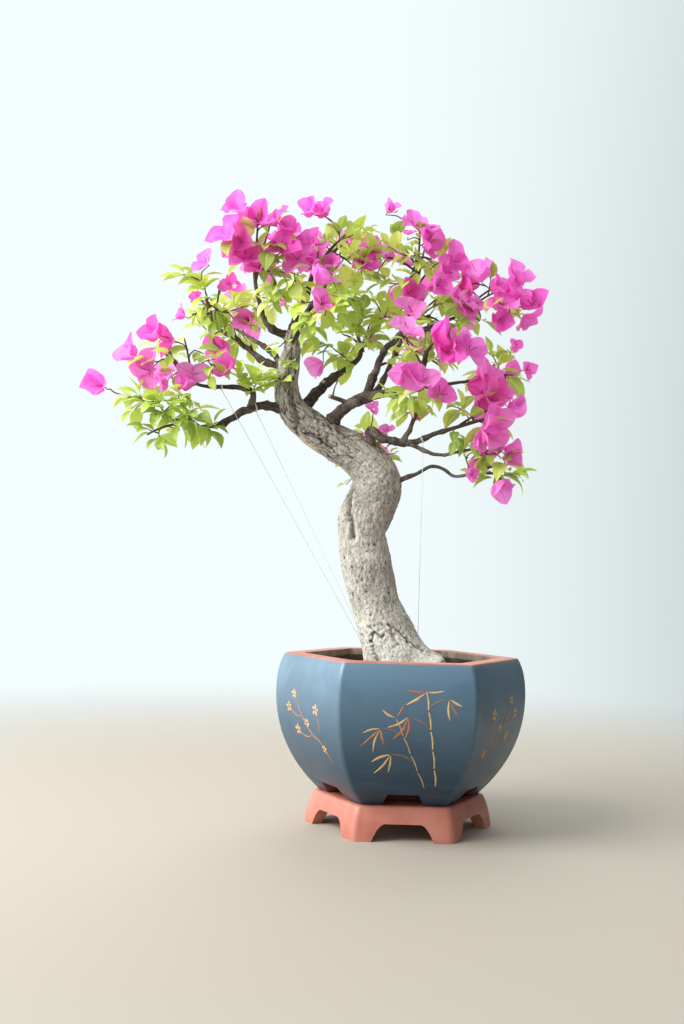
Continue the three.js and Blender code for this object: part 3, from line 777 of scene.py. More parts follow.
def soilHeight(flat):
    s = soilSet
    spots = np.column_stack([flat, np.zeros(len(flat))])
    lumps = sum(rise * noiseAt(spots, scale, shift) for rise, scale, shift in s["lumps"])
    rise, scale, shift = s["crumbs"]
    crumbs = rise * cellsAt(spots, scale, shift)
    nearTrunk = hump(np.hypot(flat[:, 0] - s["trunkAt"], flat[:, 1]), 0, s["moundWidth"])
    edge = smoothStep(np.hypot(flat[:, 0], flat[:, 1]), *s["edgeFrom"])
    return s["top"] - s["below"] + lumps + crumbs + s["mound"] * nearTrunk - s["edgeSink"] * edge


def addGrit(batch, rng):
    s = soilSet
    corners = np.vstack([np.eye(3)[k] * sign for k in range(3) for sign in (1, -1)])
    faces = [(0, 2, 4), (2, 1, 4), (1, 3, 4), (3, 0, 4), (2, 0, 5), (1, 2, 5), (3, 1, 5), (0, 3, 5)]
    turns = rng.uniform(0, fullTurn, s["grit"])
    away = np.sqrt(rng.uniform(0, 1, s["grit"])) * (s["corner"] - s["gritMargin"]) * hexReach(turns)
    spots = np.column_stack([np.cos(turns), np.sin(turns)]) * away[:, None]
    for (x, y), z in zip(spots, soilHeight(spots)):
        size = rng.uniform(*s["gritSize"], 3) * rng.uniform(0.7, 1.2)
        turn = rng.uniform(0, math.pi)
        spin = np.array([[math.cos(turn), -math.sin(turn), 0], [math.sin(turn), math.cos(turn), 0], upward])
        grain = (corners * size * rng.uniform(0.75, 1.25, (6, 3))) @ spin.T
        addToBatch(batch, grain + (x, y, z + 0.2), faces, int(rng.integers(0, 2)))


def makeSoil():
    s = soilSet
    around = 6 * s["perSide"]
    angle = np.arange(around) * fullTurn / around
    edge = np.column_stack([np.cos(angle), np.sin(angle)]) * (s["corner"] * hexReach(angle))[:, None]
    flat = np.vstack([np.zeros((1, 2))] + [edge * k / s["rings"] for k in range(1, s["rings"] + 1)])
    foot = np.column_stack([edge, np.full(around, s["top"] - s["depth"])])
    points = np.vstack([np.column_stack([flat, soilHeight(flat)]), foot])
    faces = [(0, 1 + k, 1 + (k + 1) % around) for k in range(around)]
    for r in range(s["rings"]):
        a, b = 1 + r * around, 1 + (r + 1) * around
        faces += [(a + k, b + k, b + (k + 1) % around, a + (k + 1) % around) for k in range(around)]
    last = 1 + s["rings"] * around
    faces.append(tuple(range(last, last + around))[::-1])
    batch = newBatch()
    addToBatch(batch, points, faces)
    addGrit(batch, np.random.default_rng(23))
    settle(makeBatch("soil_surface", batch, [pottingSoil, soilGrit]), "soil", "soil")


makeSoil()


# Trunk: swept along its bends, with root flare, folds, cracks and the bark's relief

trunkSet = {
    # x, y, z and radius
    "stations": [
        [9, 0, 160, 36.5], [-14.5, 0, 212, 32.5], [-32, -2, 255, 28.6], [-46, -6, 308, 29.8],
        [-51, -7, 343, 27.7], [-43, 1, 372, 31.5], [-34, 8, 400, 29.5], [-49, 13, 428, 26],
        [-82, 12, 448, 22.5], [-113, 7, 465, 21], [-139, -1, 487, 16.8], [-147, -5.5, 513, 14.6],
        [-145, -7, 538, 13.5], [-141.5, -8, 558, 10.8], [-144, -5, 582, 8],
    ],
    "flare": {"share": 0.5, "height": 17, "roots": 5, "ridge": 0.3, "turn": 0.35},
    "around": 200,
    "step": 1.12,
    "ground": soilTop + 0.3,
    "sunk": 7,
    "tipRings": 7,
    # heights at which the bark's look changes: from and to
    "fissuredFrom": (405, 455), "coarseFoot": (250, 195), "paleFoot": (300, 215),
    # and bands of it: middle and width
    "knuckle": (398, 26), "paleBand": (325, 50), "darkBand": (392, 30),
    # creases on the side towards the viewer: (across, height) points, width, depth, darkness of the painted
    # shade in the crease
    "creases": [
        ([(-66, 391), (-68, 374), (-66, 354), (-62, 334)], 2.8, 5.6, 0.85),
        ([(-143, 527), (-140, 505), (-136, 490), (-132, 472), (-133, 462)], 4.0, 3.0, 0.7),
        ([(-122, 457), (-113, 454), (-102, 448), (-91, 440)], 2.4, 3.0, 0.8),
        ([(-37, 211), (-36, 221), (-33, 222), (-29, 220), (-27, 218), (-23, 222)], 1.5, 2.6, 1.0),
        ([(-41, 230), (-37, 228), (-33, 223)], 1.3, 1.2, 0.8),
        ([(-18, 233), (-12, 229), (-5, 226), (3, 217), (11, 212), (18, 207), (24, 204)], 1.5, 2.4, 0.9),
        ([(-37, 211), (-35, 204), (-32, 197), (-28, 182)], 1.5, 2.8, 0.8),
        ([(-15, 226), (-10, 217), (-8, 210)], 1.2, 1.0, 0.6),
    ],
    "wobble": 2.4,
    # a strip stripped of its bark: (across, height) points, width, bareness
    "strip": ([(-128, 451), (-121, 446), (-113, 440)], 3.4, 0.85),
    # hollows and bare spots: place, radius, depth, darkness of the painted shade in the hollow, bareness
    "marks": [
        ((-29, -34, 228), 3.0, 2.6, 1.0, 0.0),
        ((-16, -26, 270), 3.0, 2.2, 0.9, 0.0),
        ((-60, -20, 267), 2.6, 1.8, 0.9, 0.0),
        ((-59, -20, 247), 3.4, 2.2, 0.9, 0.0),
        ((-55, -22, 236), 2.8, 1.6, 0.8, 0.0),
        ((-9, -4, 352), 5.0, 2.0, 0.6, 0.0),
        ((-76, -14, 362), 11.0, -2.6, 0.0, 0.0),
        ((-10, -33, 232), 4.5, 0.3, 0.0, 0.45),
    ],
    # small pits strewn over the lower trunk, each darkened with painted shade
    "pits": {"count": 110, "low": 185, "high": 330, "radius": (0.9, 1.9), "depth": 0.9},
}


# Distance from a broken line, on the plane of (across, height)
def nearLine(flat, line):
    best = np.full(len(flat), 1e9)
    for a, b in zip(np.array(line[:-1], float), np.array(line[1:], float)):
        share = np.clip(((flat - a) @ (b - a)) / ((b - a) @ (b - a)), 0, 1)
        best = np.minimum(best, np.linalg.norm(flat - a - share[:, None] * (b - a), axis=1))
    return best


# The wood's lumps, and its bark's ridges and pits, at points given by angle, length along and radius
def barkRelief(angle, along, radius, fissured, coarse, seed):
    skin = np.column_stack([np.cos(angle) * radius, np.sin(angle) * radius, along])
    lumps = noiseAt(skin, 21, seed)
    grains = noiseAt(skin * (1, 1, 0.55), 3.6, seed + 7.3)
    fine = noiseAt(skin * (1, 1, 0.5), 1.9, seed + 3.7)
    cells = np.clip(cellsAt(skin, 5.4, seed + 1.9), 0, 0.6) / 0.6
    furrows = 1 - np.abs(noiseAt(skin * (1, 1, 0.3), 4.6, seed + 5.1)) * 2.2
    rough = (1 - fissured) * (0.6 * grains + 0.65 * fine) + (coarse + 0.6 * fissured) * 0.9 * (cells - 0.45)
    rough = rough - fissured * 0.9 * np.clip(furrows, 0, 1) ** 2 + fissured * 0.6 * fine
    return lumps, rough


def makeTrunk():
    t = trunkSet
    stations = np.array(t["stations"], float)
    path, spot = limbCurve(stations[:, :3])
    radius = np.interp(spot, np.arange(len(stations)), stations[:, 3])
    path, radius = evenly(path, t["step"], radius)
    keep = path[:, 2] > t["ground"] - t["sunk"]
    path, radius = path[keep], radius[keep]
    rings, sides = len(path), t["around"]
    angle, out = raysAlong(path, sides, (0, -1, 0))
    flare = t["flare"]
    above = np.maximum(path[:, 2] - t["ground"], 0)[:, None]
    ridges = 1 + flare["ridge"] * np.cos(flare["roots"] * (angle + flare["turn"]))
    wide = radius[:, None] * (1 + flare["share"] * ridges * np.exp(-above / flare["height"]))
    tip = ((np.arange(rings)[:, None] - (rings - t["tipRings"])) / t["tipRings"]).clip(0, 1)
    wide = wide * np.sqrt(np.clip(1 - tip ** 2, 0.02, 1))
    skin = (path[:, None] + out * wide[..., None]).reshape(-1, 3)
    out = out.reshape(-1, 3)

    # bark: fissured above, coarse on the knuckle and the foot
    height = np.repeat(path[:, 2], sides)
    along = np.repeat(lengthsAlong(path), sides)
    fissured = smoothStep(height, *t["fissuredFrom"])
    coarse = hump(height, *t["knuckle"]) + 0.45 * smoothStep(height, *t["coarseFoot"])
    lumps, rough = barkRelief(angle.ravel(), along, wide.ravel(), fissured, coarse, 2.0)
    thick = np.clip(np.repeat(radius, sides) / 28, 0.35, 1)
    lift = thick * (1.5 * lumps + (1.0 + 0.35 * fissured) * rough)
    # painted shade in the deepest furrows of the fissured bark
    crack_shade = 0.75 * fissured * smoothStep(-rough, 0.5, 1.0)

    # creases with painted shade in them, and the bare strip, on the side towards the viewer
    facing = smoothStep(-out[:, 1], 0.0, 0.25)
    drift = np.column_stack([noiseAt(skin, 4.5, shift) for shift in (31.0, 47.0)]) * t["wobble"]
    flat = skin[:, [0, 2]] + drift
    for line, width, depth, paintedShade in t["creases"]:
        gap = nearLine(flat, line)
        lift -= depth * (hump(gap, 0, width) - 0.22 * hump(gap, 2.6 * width, 1.5 * width)) * facing
        crack_shade = np.maximum(crack_shade, paintedShade * hump(gap, 0, 0.75 * width) * facing)
    line, width, stripped = t["strip"]
    bare = stripped * smoothStep(nearLine(flat, line), width * 1.2, width * 0.7) * facing

    # marks and strewn pits, with painted shade in the hollows
    rng = np.random.default_rng(77)
    pits = t["pits"]
    strewn = rng.choice(np.flatnonzero((height > pits["low"]) & (height < pits["high"])), pits["count"])
    marks = t["marks"] + [(skin[k], rng.uniform(*pits["radius"]), pits["depth"], rng.uniform(0.6, 1.0), 0.0)
                          for k in strewn]
    uneven = 1 + 0.35 * noiseAt(skin, 5, 9.0)
    for place, size, depth, paintedShade, stripped in marks:
        gap = np.linalg.norm((skin - place) * (1, 1, 0.75), axis=1) * uneven
        lift -= depth * hump(gap, 0, size)
        crack_shade = np.maximum(crack_shade, paintedShade * smoothStep(gap, size * 1.15, size * 0.45))
        bare = np.maximum(bare, stripped * smoothStep(gap, size * 1.2, size * 0.7))

    contrast = 0.34 + 0.2 * fissured + 0.12 * coarse
    relief = 0.52 + contrast * (rough + 0.3 * fissured) + 0.1 * lumps
    pale = smoothStep(height, *t["paleFoot"]) * 0.66 + 0.25 * smoothStep(noiseAt(skin, 26, 4.4), 0.0, 0.5)
    pale += 0.26 * hump(height, *t["paleBand"]) - 0.4 * hump(height, *t["darkBand"])
    pale += 0.35 * rough - 0.45 * fissured
    layers = dict(zip(barkLayers, np.clip([relief, pale, crack_shade, bare], 0, 1)))
    points = skin + out * lift[:, None]
    piece = makePiece("trunk_wood", points, tubeFaces(rings, sides), [trunkBark], None, layers)
    settle(piece, "trunk_bark", "trunk")


makeTrunk()


# Boughs: knobbly tapering limbs with collars where they spring, and a few cut stubs

boughSet = {
    "collarShare": 0.3,
    "collarFade": 0.07,
    "step": 1.3,
    "around": 26,
    "wander": 1.8,
    "knotGap": 15,
    "fissured": 0.65,
    "coarse": 0.35,
    # name: (route, radius at foot, radius at tip)
    "limbs": {
        "bough_left_low": ([[-139, 0, 487], [-170, -10, 489], [-195, -20, 481], [-220, -30, 463],
                            [-240, -36, 458]], 7, 2.6),
        "bough_left_rise": ([[-188, -16, 485], [-186, -20, 503], [-200, -28, 506], [-240, -42, 505]], 4.2, 2),
        "bough_left_mid": ([[-146, -6, 536], [-178, 0, 547], [-212, 14, 575], [-230, 18, 585]], 5, 2.4),
        "bough_apex_left": ([[-144, -5, 575], [-166, -14, 582], [-175, -26, 594],
                             [-181, -42, 611]], 5.2, 2.6),
        "bough_apex_right": ([[-145, -5, 570], [-136, 6, 608], [-127, 10, 633], [-121, 12, 653]], 6, 3),
        "bough_centre": ([[-131, 5, 482], [-106, 22, 518], [-84, 34, 540], [-63, 42, 557]], 8.5, 3.4),
        "bough_shoulder": ([[-99, 8, 463], [-79, -4, 487], [-56, -18, 500], [-12, -38, 506]], 8.5, 4.6),
        "bough_riser": ([[-52, -20, 498], [-43, -12, 527], [-30, 0, 561], [-6, 8, 590],
                         [6, 14, 629]], 5.5, 2.6),
        "bough_far_right": ([[-12, 6, 583], [18, 13, 592], [50, 18, 607]], 3.6, 2.2),
        "bough_right_low": ([[-42, 8, 436], [-43, -10, 462], [-26, -18, 450], [3, -20, 448], [30, -26, 458],
                             [46, -31, 463]], 7, 2.6),
        "bough_right_rise": ([[-6, -19, 447], [1, -24, 462], [6, -32, 474]], 3.8, 2.2),
        "bough_right_droop": ([[2, -20, 447], [19, -26, 439], [37, -32, 433], [64, -40, 438]], 2.8, 1.6),
        "bough_low_right": ([[-16, 4, 401], [14, -8, 414], [35, -14, 422], [55, -19, 410],
                             [74, -23, 412]], 3, 1.5),
        "bough_right_outer": ([[-44, -24, 503], [-10, -14, 514], [30, -6, 520], [68, 2, 527]], 3.6, 2),
        "bough_back_left": ([[-146, -4, 532], [-169, 40, 565], [-200, 78, 591]], 5, 2.4),
        "bough_back_top": ([[-143, -4, 560], [-130, 40, 610], [-107, 92, 664]], 5, 2.4),
        "bough_back_right": ([[-104, 13, 464], [-78, 48, 498], [-40, 82, 522], [-4, 101, 598]], 6, 2.8),
        "bough_back_low": ([[-41, 12, 423], [-38, 55, 445], [-42, 95, 450]], 5, 2.2),
        "bough_front_top": ([[-144, -6, 564], [-133, -40, 578], [-119, -66, 584]], 4, 2.2),
    },
    # stubs of cut side shoots: bough, place along it, direction, length, radius
    "stubs": [
        ("bough_shoulder", 0.43, (-27, -8, 8), 22, 2.6),
        ("bough_left_low", 0.72, (-0.5, -0.2, -0.8), 9, 2.2),
        ("bough_left_mid", 0.5, (-0.2, -0.4, 0.9), 8, 1.9),
        ("bough_centre", 0.45, (0.2, -0.9, 0.4), 9, 2.2),
        ("bough_riser", 0.32, (0.9, -0.2, 0.3), 10, 1.8),
        ("bough_back_right", 0.5, (-0.4, 0.5, 0.7), 10, 2.2),
    ],
    # bare thin shoots on stubs: stub, place along it, steps from there, radius
    "shoots": [(0, 0.86, [(0, 0, 0), (2, -2, 10), (6, -3, 20)], 1.2)],
}


def makeBoughs():
    b = boughSet
    batch = newBatch()
    layers = {key: [] for key in barkLayers}
    limbs, stubLines = {}, []

    def addLimb(path, radii, sides, seed, cutEnd=0.0):
        angle, out = raysAlong(path, sides)
        out = out.reshape(-1, 3)
        wide = np.repeat(radii, sides)
        along = np.repeat(lengthsAlong(path), sides)
        lumps, rough = barkRelief(angle.ravel(), along, wide, b["fissured"], b["coarse"], seed)
        thick = np.clip(wide / 6.5, 0.3, 0.85)
        points = np.repeat(path, sides, axis=0) + out * wide[:, None]
        points += out * (thick * (lumps + 0.95 * rough))[:, None]
        addToBatch(batch, points, tubeFaces(len(path), sides))
        atEnd = np.arange(len(path)) >= len(path) - 2
        # the third layer is painted shade in the deepest hollows of the bough bark
        found = (0.5 + 0.42 * rough + 0.1 * lumps, 0.5 * smoothStep(noiseAt(points, 18, seed), 0.05, 0.5),
                 -rough - 0.75, np.repeat(np.where(atEnd, cutEnd, 0.0), sides))
        for key, values in zip(barkLayers, found):
            layers[key].append(np.clip(values, 0, 1))

    def spotOn(line, at):
        return int(at * (len(line) - 1))

    for i, (name, (route, foot, tip)) in enumerate(b["limbs"].items()):
        path = evenly(limbCurve(route)[0], b["step"])
        run = lengthsAlong(path)
        share = run / run[-1]
        collar = b["collarShare"] * foot * np.exp(-share / b["collarFade"])
        radii = foot + (tip - foot) * share ** 0.8 + collar
        limbs[name] = (path, radii)
        rng = np.random.default_rng(100 + i)
        knots = np.zeros(len(path))
        for _ in range(max(3, int(run[-1] / b["knotGap"]))):
            at = rng.uniform(0.12, 0.95) * run[-1]
            size = rng.uniform(0.1, 0.34) * min(1.0, 5 / foot)
            knots += size * hump(run, at, rng.uniform(2.5, 5))
        drift = np.column_stack([noiseAt(path, 13, 10 * k + i) for k in range(3)])
        loose = np.sin(math.pi * share)[:, None] * b["wander"]
        addLimb(path + loose * drift, radii * (1 + knots), b["around"], 30.0 + i)
    for i, (name, at, way, length, radius) in enumerate(b["stubs"]):
        path, radii = limbs[name]
        k = spotOn(path, at)
        end = path[k] + unit(way) * (length + radii[k])
        line = evenly(quadBend(path[k], (path[k] + end) / 2 + upward, end, 8), b["step"])
        addLimb(line, np.linspace(radius * 1.3, radius * 0.9, len(line)), 14, 60.0 + i, 1.0)
        stubLines.append(line)
    for i, (stub, at, steps, radius) in enumerate(b["shoots"]):
        start = stubLines[stub][spotOn(stubLines[stub], at)]
        line = evenly(limbCurve(start + np.array(steps))[0], b["step"])
        addLimb(line, np.linspace(radius, radius * 0.7, len(line)), 10, 80.0 + i)
    layers = {key: np.concatenate(values) for key, values in layers.items()}
    settle(makeBatch("bough_wood", batch, [boughBark], layers), "bough_bark", *b["limbs"])
    return limbs


limbs = makeBoughs()


# Foliage: each mass's stem and twigs grow on from its bough by the source's rule, and finer twigs from those

massSet = {
    # node: (bough, heart, reach, share of sprays in blossom)
    "leaves_left_low": ("bough_left_low", (-288, -45, 467), (76, 60, 54), 0.0),
    "blossom_left": ("bough_left_rise", (-283, -40, 545), (68, 58, 50), 0.8),
    "leaves_left_mid": ("bough_left_mid", (-250, 15, 625), (68, 60, 56), 0.3),
    "blossom_top_left": ("bough_apex_left", (-184, -45, 680), (78, 70, 62), 0.85),
    "leaves_top_centre": ("bough_apex_right", (-90, 10, 690), (58, 65, 68), 0.4),
    "leaves_front": ("bough_front_top", (-106, -96, 592), (50, 48, 42), 0.25),
    "leaves_centre": ("bough_centre", (-62, 52, 590), (60, 54, 52), 0.15),
    "blossom_top_right": ("bough_riser", (5, 15, 690), (65, 75, 68), 0.7),
    "blossom_right_upper": ("bough_far_right", (104, 20, 636), (76, 65, 54), 0.85),
    "blossom_right_mid": ("bough_shoulder", (15, -78, 546), (64, 60, 60), 0.8),
    "blossom_right_outer": ("bough_right_outer", (112, 5, 540), (60, 66, 56), 0.75),
    "blossom_right_low": ("bough_right_low", (90, -42, 476), (60, 56, 40), 0.65),
    "leaves_right_droop": ("bough_right_droop", (90, -42, 439), (30, 28, 19), 0.2),
    "leaves_low_right": ("bough_low_right", (109, -28, 413), (49, 42, 40), 0.5),
    "leaves_centre_low": ("bough_right_rise", (12, -44, 490), (34, 30, 24), 0.15),
    "leaves_back_left": ("bough_back_left", (-243, 130, 624), (66, 60, 58), 0.45),
    "blossom_back_top": ("bough_back_top", (-95, 135, 711), (82, 60, 66), 0.6),
    "blossom_back_right": ("bough_back_right", (35, 135, 642), (80, 60, 66), 0.6),
    "leaves_back_low": ("bough_back_low", (-46, 132, 454), (56, 42, 37), 0.1),
}

# Sprays at listed places, most on the plant's best side: heads of blossom, some with a size, and leafy shoots
blossomSpots = {
    "leaves_left_low": [(-365, -45, 503, 0.95)],
    "blossom_left": [(-298, -66, 563, 1.1), (-284, -60, 554, 0.95), (-327, -60, 541, 1.2), (-306, -68, 518),
                     (-257, -66, 504), (-254, -56, 516, 0.85), (-215, -50, 528, 1.2)],
    "leaves_left_mid": [(-251, -16, 662, 0.85), (-217, -16, 636, 0.8), (-259, -10, 618, 0.5),
                        (-276, -16, 596, 0.7), (-196, -14, 592)],
    "blossom_top_left": [(-207, -80, 710, 0.95), (-221, -86, 677, 1.15), (-202, -82, 667), (-182, -80, 696),
                         (-164, -82, 694), (-147, -78, 684), (-193, -80, 652), (-181, -76, 642, 0.9),
                         (-153, -84, 664), (-137, -80, 652), (-127, -74, 671, 0.8)],
    "leaves_top_centre": [(-125, -24, 726), (-109, -20, 726), (-117, -34, 666, 1.05), (-99, -40, 657, 0.8),
                          (-121, -30, 690, 0.7), (-48, 0, 688, 0.9), (-28, 6, 683, 0.85),
                          (-55, -6, 669, 0.8)],
    "leaves_front": [(-103, -116, 591, 0.8), (-106, -112, 619), (-150, -78, 597, 0.32)],
    "leaves_centre": [(-114, 67, 555), (-46, 60, 592, 0.7)],
    "blossom_top_right": [(-27, -12, 735, 0.85), (2, -30, 716, 0.85), (22, -28, 705, 0.8),
                          (-5, -24, 703, 0.55), (21, -30, 687, 1.05), (53, -26, 668, 1.05), (35, -26, 639),
                          (0, -16, 631, 0.9), (42, -30, 656, 0.9)],
    "blossom_right_upper": [(80, -24, 652, 1.15), (60, -18, 623, 1.1), (78, -24, 619, 1.2),
                            (69, -14, 613, 0.9), (127, -18, 653, 1.05), (111, -28, 622, 1.25),
                            (122, -24, 633, 1.1), (103, -22, 639), (145, -16, 624, 1.2), (108, -14, 601, 0.9),
                            (67, -18, 639)],
    "blossom_right_mid": [(-10, -112, 566, 1.1), (-2, -88, 594, 0.8), (27, -112, 558, 1.1),
                          (35, -114, 540, 1.05), (66, -104, 544, 1.05), (50, -110, 550),
                          (-10, -108, 513, 1.1), (10, -106, 509, 0.95), (31, -98, 496, 1.05)],
    "blossom_right_outer": [(88, -38, 531, 1.1), (98, -42, 502, 1.1), (124, -36, 492, 1.1),
                            (141, -29, 536, 0.55), (126, -20, 569, 0.4), (78, -34, 516), (85, -40, 493),
                            (112, -34, 511, 0.8)],
    "blossom_right_low": [(89, -70, 455, 1.1), (100, -66, 471), (77, -64, 444, 0.75)],
    "leaves_right_droop": [(118, -52, 432, 0.85)],
    "leaves_low_right": [(106, -50, 394, 1.05), (74, -43, 411, 0.5)],
    "leaves_back_low": [(-66, 164, 470), (-36, 158, 458, 0.9), (-92, 150, 452, 0.9)],
}
leafSpots = {
    "leaves_left_low": [(-337, -72, 481), (-320, -78, 486), (-306, -84, 475), (-291, -80, 480),
                        (-275, -84, 476), (-262, -78, 481), (-303, -72, 485), (-283, -86, 466),
                        (-273, -72, 487), (-326, -74, 467), (-295, -84, 461), (-312, -74, 445),
                        (-293, -66, 430), (-273, -78, 451), (-256, -74, 456), (-232, -60, 450),
                        (-247, -64, 445), (-240, -58, 440)],
    "blossom_left": [(-234, -66, 530), (-284, -80, 531), (-237, -64, 510)],
    "leaves_left_mid": [(-296, -14, 649), (-271, -18, 648), (-257, -22, 633), (-264, -20, 600),
                        (-244, -26, 609), (-227, -24, 600), (-209, -20, 613), (-194, -10, 621),
                        (-221, -14, 587), (-245, -20, 590), (-188, -14, 605)],
    "blossom_top_left": [(-171, -70, 638), (-151, -74, 640), (-132, -66, 640), (-164, -62, 622),
                         (-143, -66, 622), (-125, -56, 622), (-175, -88, 665), (-165, -86, 654),
                         (-181, -50, 610), (-169, -56, 598), (-175, -68, 620), (-162, -66, 608)],
    "leaves_top_centre": [(-88, -26, 712), (-68, -24, 705), (-50, -16, 715), (-45, -20, 693), (-60, -24, 677),
                          (-52, -12, 660), (-78, -10, 650)],
    "leaves_front": [(-80, -118, 601), (-62, -112, 598), (-90, -122, 583), (-115, -122, 565),
                     (-128, -112, 571), (-73, -112, 580), (-118, -100, 555), (-133, -100, 595),
                     (-103, -126, 571)],
    "leaves_centre": [(-39, 26, 643), (-23, 22, 623), (-53, 20, 618), (-29, 22, 607), (-53, 22, 586),
                      (-35, 24, 579), (-68, 40, 542), (-83, 22, 554), (-119, 40, 576), (-61, 8, 626),
                      (-46, 14, 617), (-57, 12, 591), (-43, 16, 574), (-34, 14, 591), (-66, 8, 603),
                      (-131, 20, 576), (-18, 10, 630), (-9, 12, 613)],
    "blossom_top_right": [(-27, -24, 695), (-9, -26, 684), (8, -26, 677), (21, -22, 666), (4, -20, 651),
                          (-39, -10, 655), (-19, -8, 646)],
    "blossom_right_mid": [(4, -96, 543), (47, -92, 527), (14, -90, 491), (-9, -74, 485)],
    "blossom_right_outer": [(103, -26, 559), (116, -28, 547), (130, -24, 526)],
    "blossom_right_low": [(52, -62, 483), (68, -66, 476), (62, -46, 443)],
    "leaves_low_right": [(73, -30, 430), (94, -50, 421), (106, -46, 432), (123, -46, 421), (137, -44, 407)],
    "leaves_centre_low": [(-22, -50, 493), (-9, -56, 483), (6, -58, 489), (-1, -48, 471), (24, -52, 480)],
    "blossom_right_upper": [(71, -2, 600), (95, 0, 601), (133, -6, 613), (104, -6, 666)],
    "leaves_back_low": [(-72, 150, 440), (-48, 160, 436), (-80, 128, 458), (-50, 136, 476)],
    "leaves_back_left": [(-268, 166, 640), (-232, 168, 606), (-255, 150, 664)],
}
# Short shoots straight from a limb, in runs of one kind: places of their tips, some with a size
spurSpots = [
    ("leaf", [(-206, -38, 532), (-195, -38, 521), (-180, -34, 527), (-147, -42, 541, 0.85), (-181, -36, 516),
              (-168, -30, 523), (-193, -36, 508), (-166, -44, 556, 0.9), (-18, 6, 446, 0.6),
              (-32, 4, 449, 0.6), (-78, 34, 408, 0.6)]),
    ("blossom", [(-27, 14, 467, 0.75), (-41, 12, 495, 0.45), (10, -8, 487, 0.6)]),
    ("leaf", [(-8, 86, 566), (2, 98, 582), (-16, 114, 590), (-24, 60, 436), (-58, 68, 446), (-28, 84, 436),
              (-56, 90, 441)]),
]

growthSet = {
    "roomPerTwig": 208000,  # as in the source
    "roomPerSpray": 100000,  # finer twigs
    "roomBehind": 56000,  # finer twigs of the blossom behind
    "twigRise": 0.14,
    "firstAt": 0.3,
    "lastAt": 0.98,
    "endRoom": 32,
    "shortest": 0.35,
    "sprayRoom": 21,
    "sprayReach": (0.46, 0.8),
    # depth within a mass below which sprays lean to the darker greens, as painted shade
    "paintedShadeDepth": 0.65,
    "frontShare": 0.03,  # of the finer twigs on the side that the placed sprays already fill
    "behindBlossom": 0.6,  # of the share in blossom, away from that side
    "crownHeart": (-95, 25, 560),
    "leafTurn": 2.4,
    "spurLowest": 380,
    "nextAt": 0.618,  # share of the stem from one twig to the next
    "stemTaper": 0.62,
    "stemThinnest": 1.4,
    "twigRadii": (1.7, 1.0),
    "twigStep": 3.5,
    "twigWander": 2.6,
}
spraySet = {
    # parts of the way that a spray faces; the viewer's is for one left to chance and for one placed
    "toViewer": (0.1, 0.6), "outward": 0.7, "upward": 0.22, "loose": 0.4,
    "leafShort": 12, "headShort": 11,  # how far from the place its twig ends
    "thick": 0.75, "thicken": 0.009, "longest": 70, "thin": 0.55, "woody": 26,
    "joinShare": 0.75,  # of a twig, from its foot, from which others may leave
    "leaves": (4, 6), "leavesFrom": 0.45, "tipLeaves": 2, "leafSizes": (0.8, 1.08), "tipSizes": (0.62, 0.82),
    "lowLeaves": (0, 3), "lowLeavesAt": (0.2, 0.62),  # under a head of blossom
    "twoHeads": 0.5, "headSizes": (0.84, 1.06), "headGap": 20, "headLean": 0.75, "headBack": 5,
}
# A blade: its outline by rows, where its columns are, the ranges of its sizes and bends, and its looks
leafSet = {
    "along": (0.0, 0.13, 0.2, 0.32, 0.47, 0.62, 0.77, 0.9, 1.0),
    "wide": (0.045, 0.04, 0.42, 0.82, 1.0, 0.93, 0.66, 0.29, 0.012),
    "across": (-1, -0.52, -0.055, 0.055, 0.52, 1),
    "length": (24, 37), "slender": (0.44, 0.58),
    "bends": {"bend": (0.35, 1.15), "fold": (0.16, 0.6), "cup": (-0.1, 0.12), "wave": (0.02, 0.1),
              "pucker": (0.0, 0.05), "phase": (0, 6.28), "swing": (-0.12, 0.12)},
    "tints": ((205, 221, 113), (192, 213, 100), (216, 227, 144), (177, 201, 94), (155, 180, 85)),
    "weights": (0.3, 0.3, 0.14, 0.17, 0.09),
    "glow": (24, 22, 4), "roughness": 0.42, "through": 0.34,
    "rib": ("leaf_rib", (222, 230, 150), (228, 234, 150), 0.45, 0.3),
}
bractSet = {
    "along": (0.0, 0.05, 0.14, 0.27, 0.42, 0.57, 0.71, 0.83, 0.93, 1.0),
    "wide": (0.1, 0.5, 0.83, 0.99, 1.0, 0.94, 0.8, 0.57, 0.27, 0.012),
    "across": (-1, -0.74, -0.4, -0.04, 0.04, 0.4, 0.74, 1),
    "length": (23, 30), "slender": (0.84, 1.04),
    "bends": {"bend": (0.15, 0.75), "fold": (-0.1, 0.12), "cup": (0.2, 0.7), "wave": (0.1, 0.28),
              "pucker": (0.05, 0.16), "phase": (0, 6.28), "swing": (-0.16, 0.16)},
    "tints": ((250, 125, 218), (247, 110, 210), (253, 145, 225), (239, 94, 198), (249, 128, 210)),
    "weights": (0.34, 0.3, 0.17, 0.13, 0.06),
    "glow": (18, 26, 20), "roughness": 0.55, "through": 0.42,
    "rib": ("bract_vein", (241, 99, 201), (247, 115, 208), 0.55, 0.42),
}
bladeWaves = {"ripples": 9.5, "sidesApart": 1.7, "dimplesAlong": 7, "dimplesAcross": 3}
flowerSet = {
    "depth": 10, "spread": (0.45, 0.95), "turnJitter": 0.3, "tiltJitter": 0.25,
    "tubeShare": 0.55, "tubeLength": 11, "tubeRadii": (0.35, 0.5, 0.6, 0.7, 0.5),
    "starShare": 0.025, "starReach": (4.4, 1.7), "starRise": (0.4, 0.9),
    "tints": {"flower_tube": (196, 66, 148), "flower_star": (246, 240, 226)}, "roughness": 0.6,
}


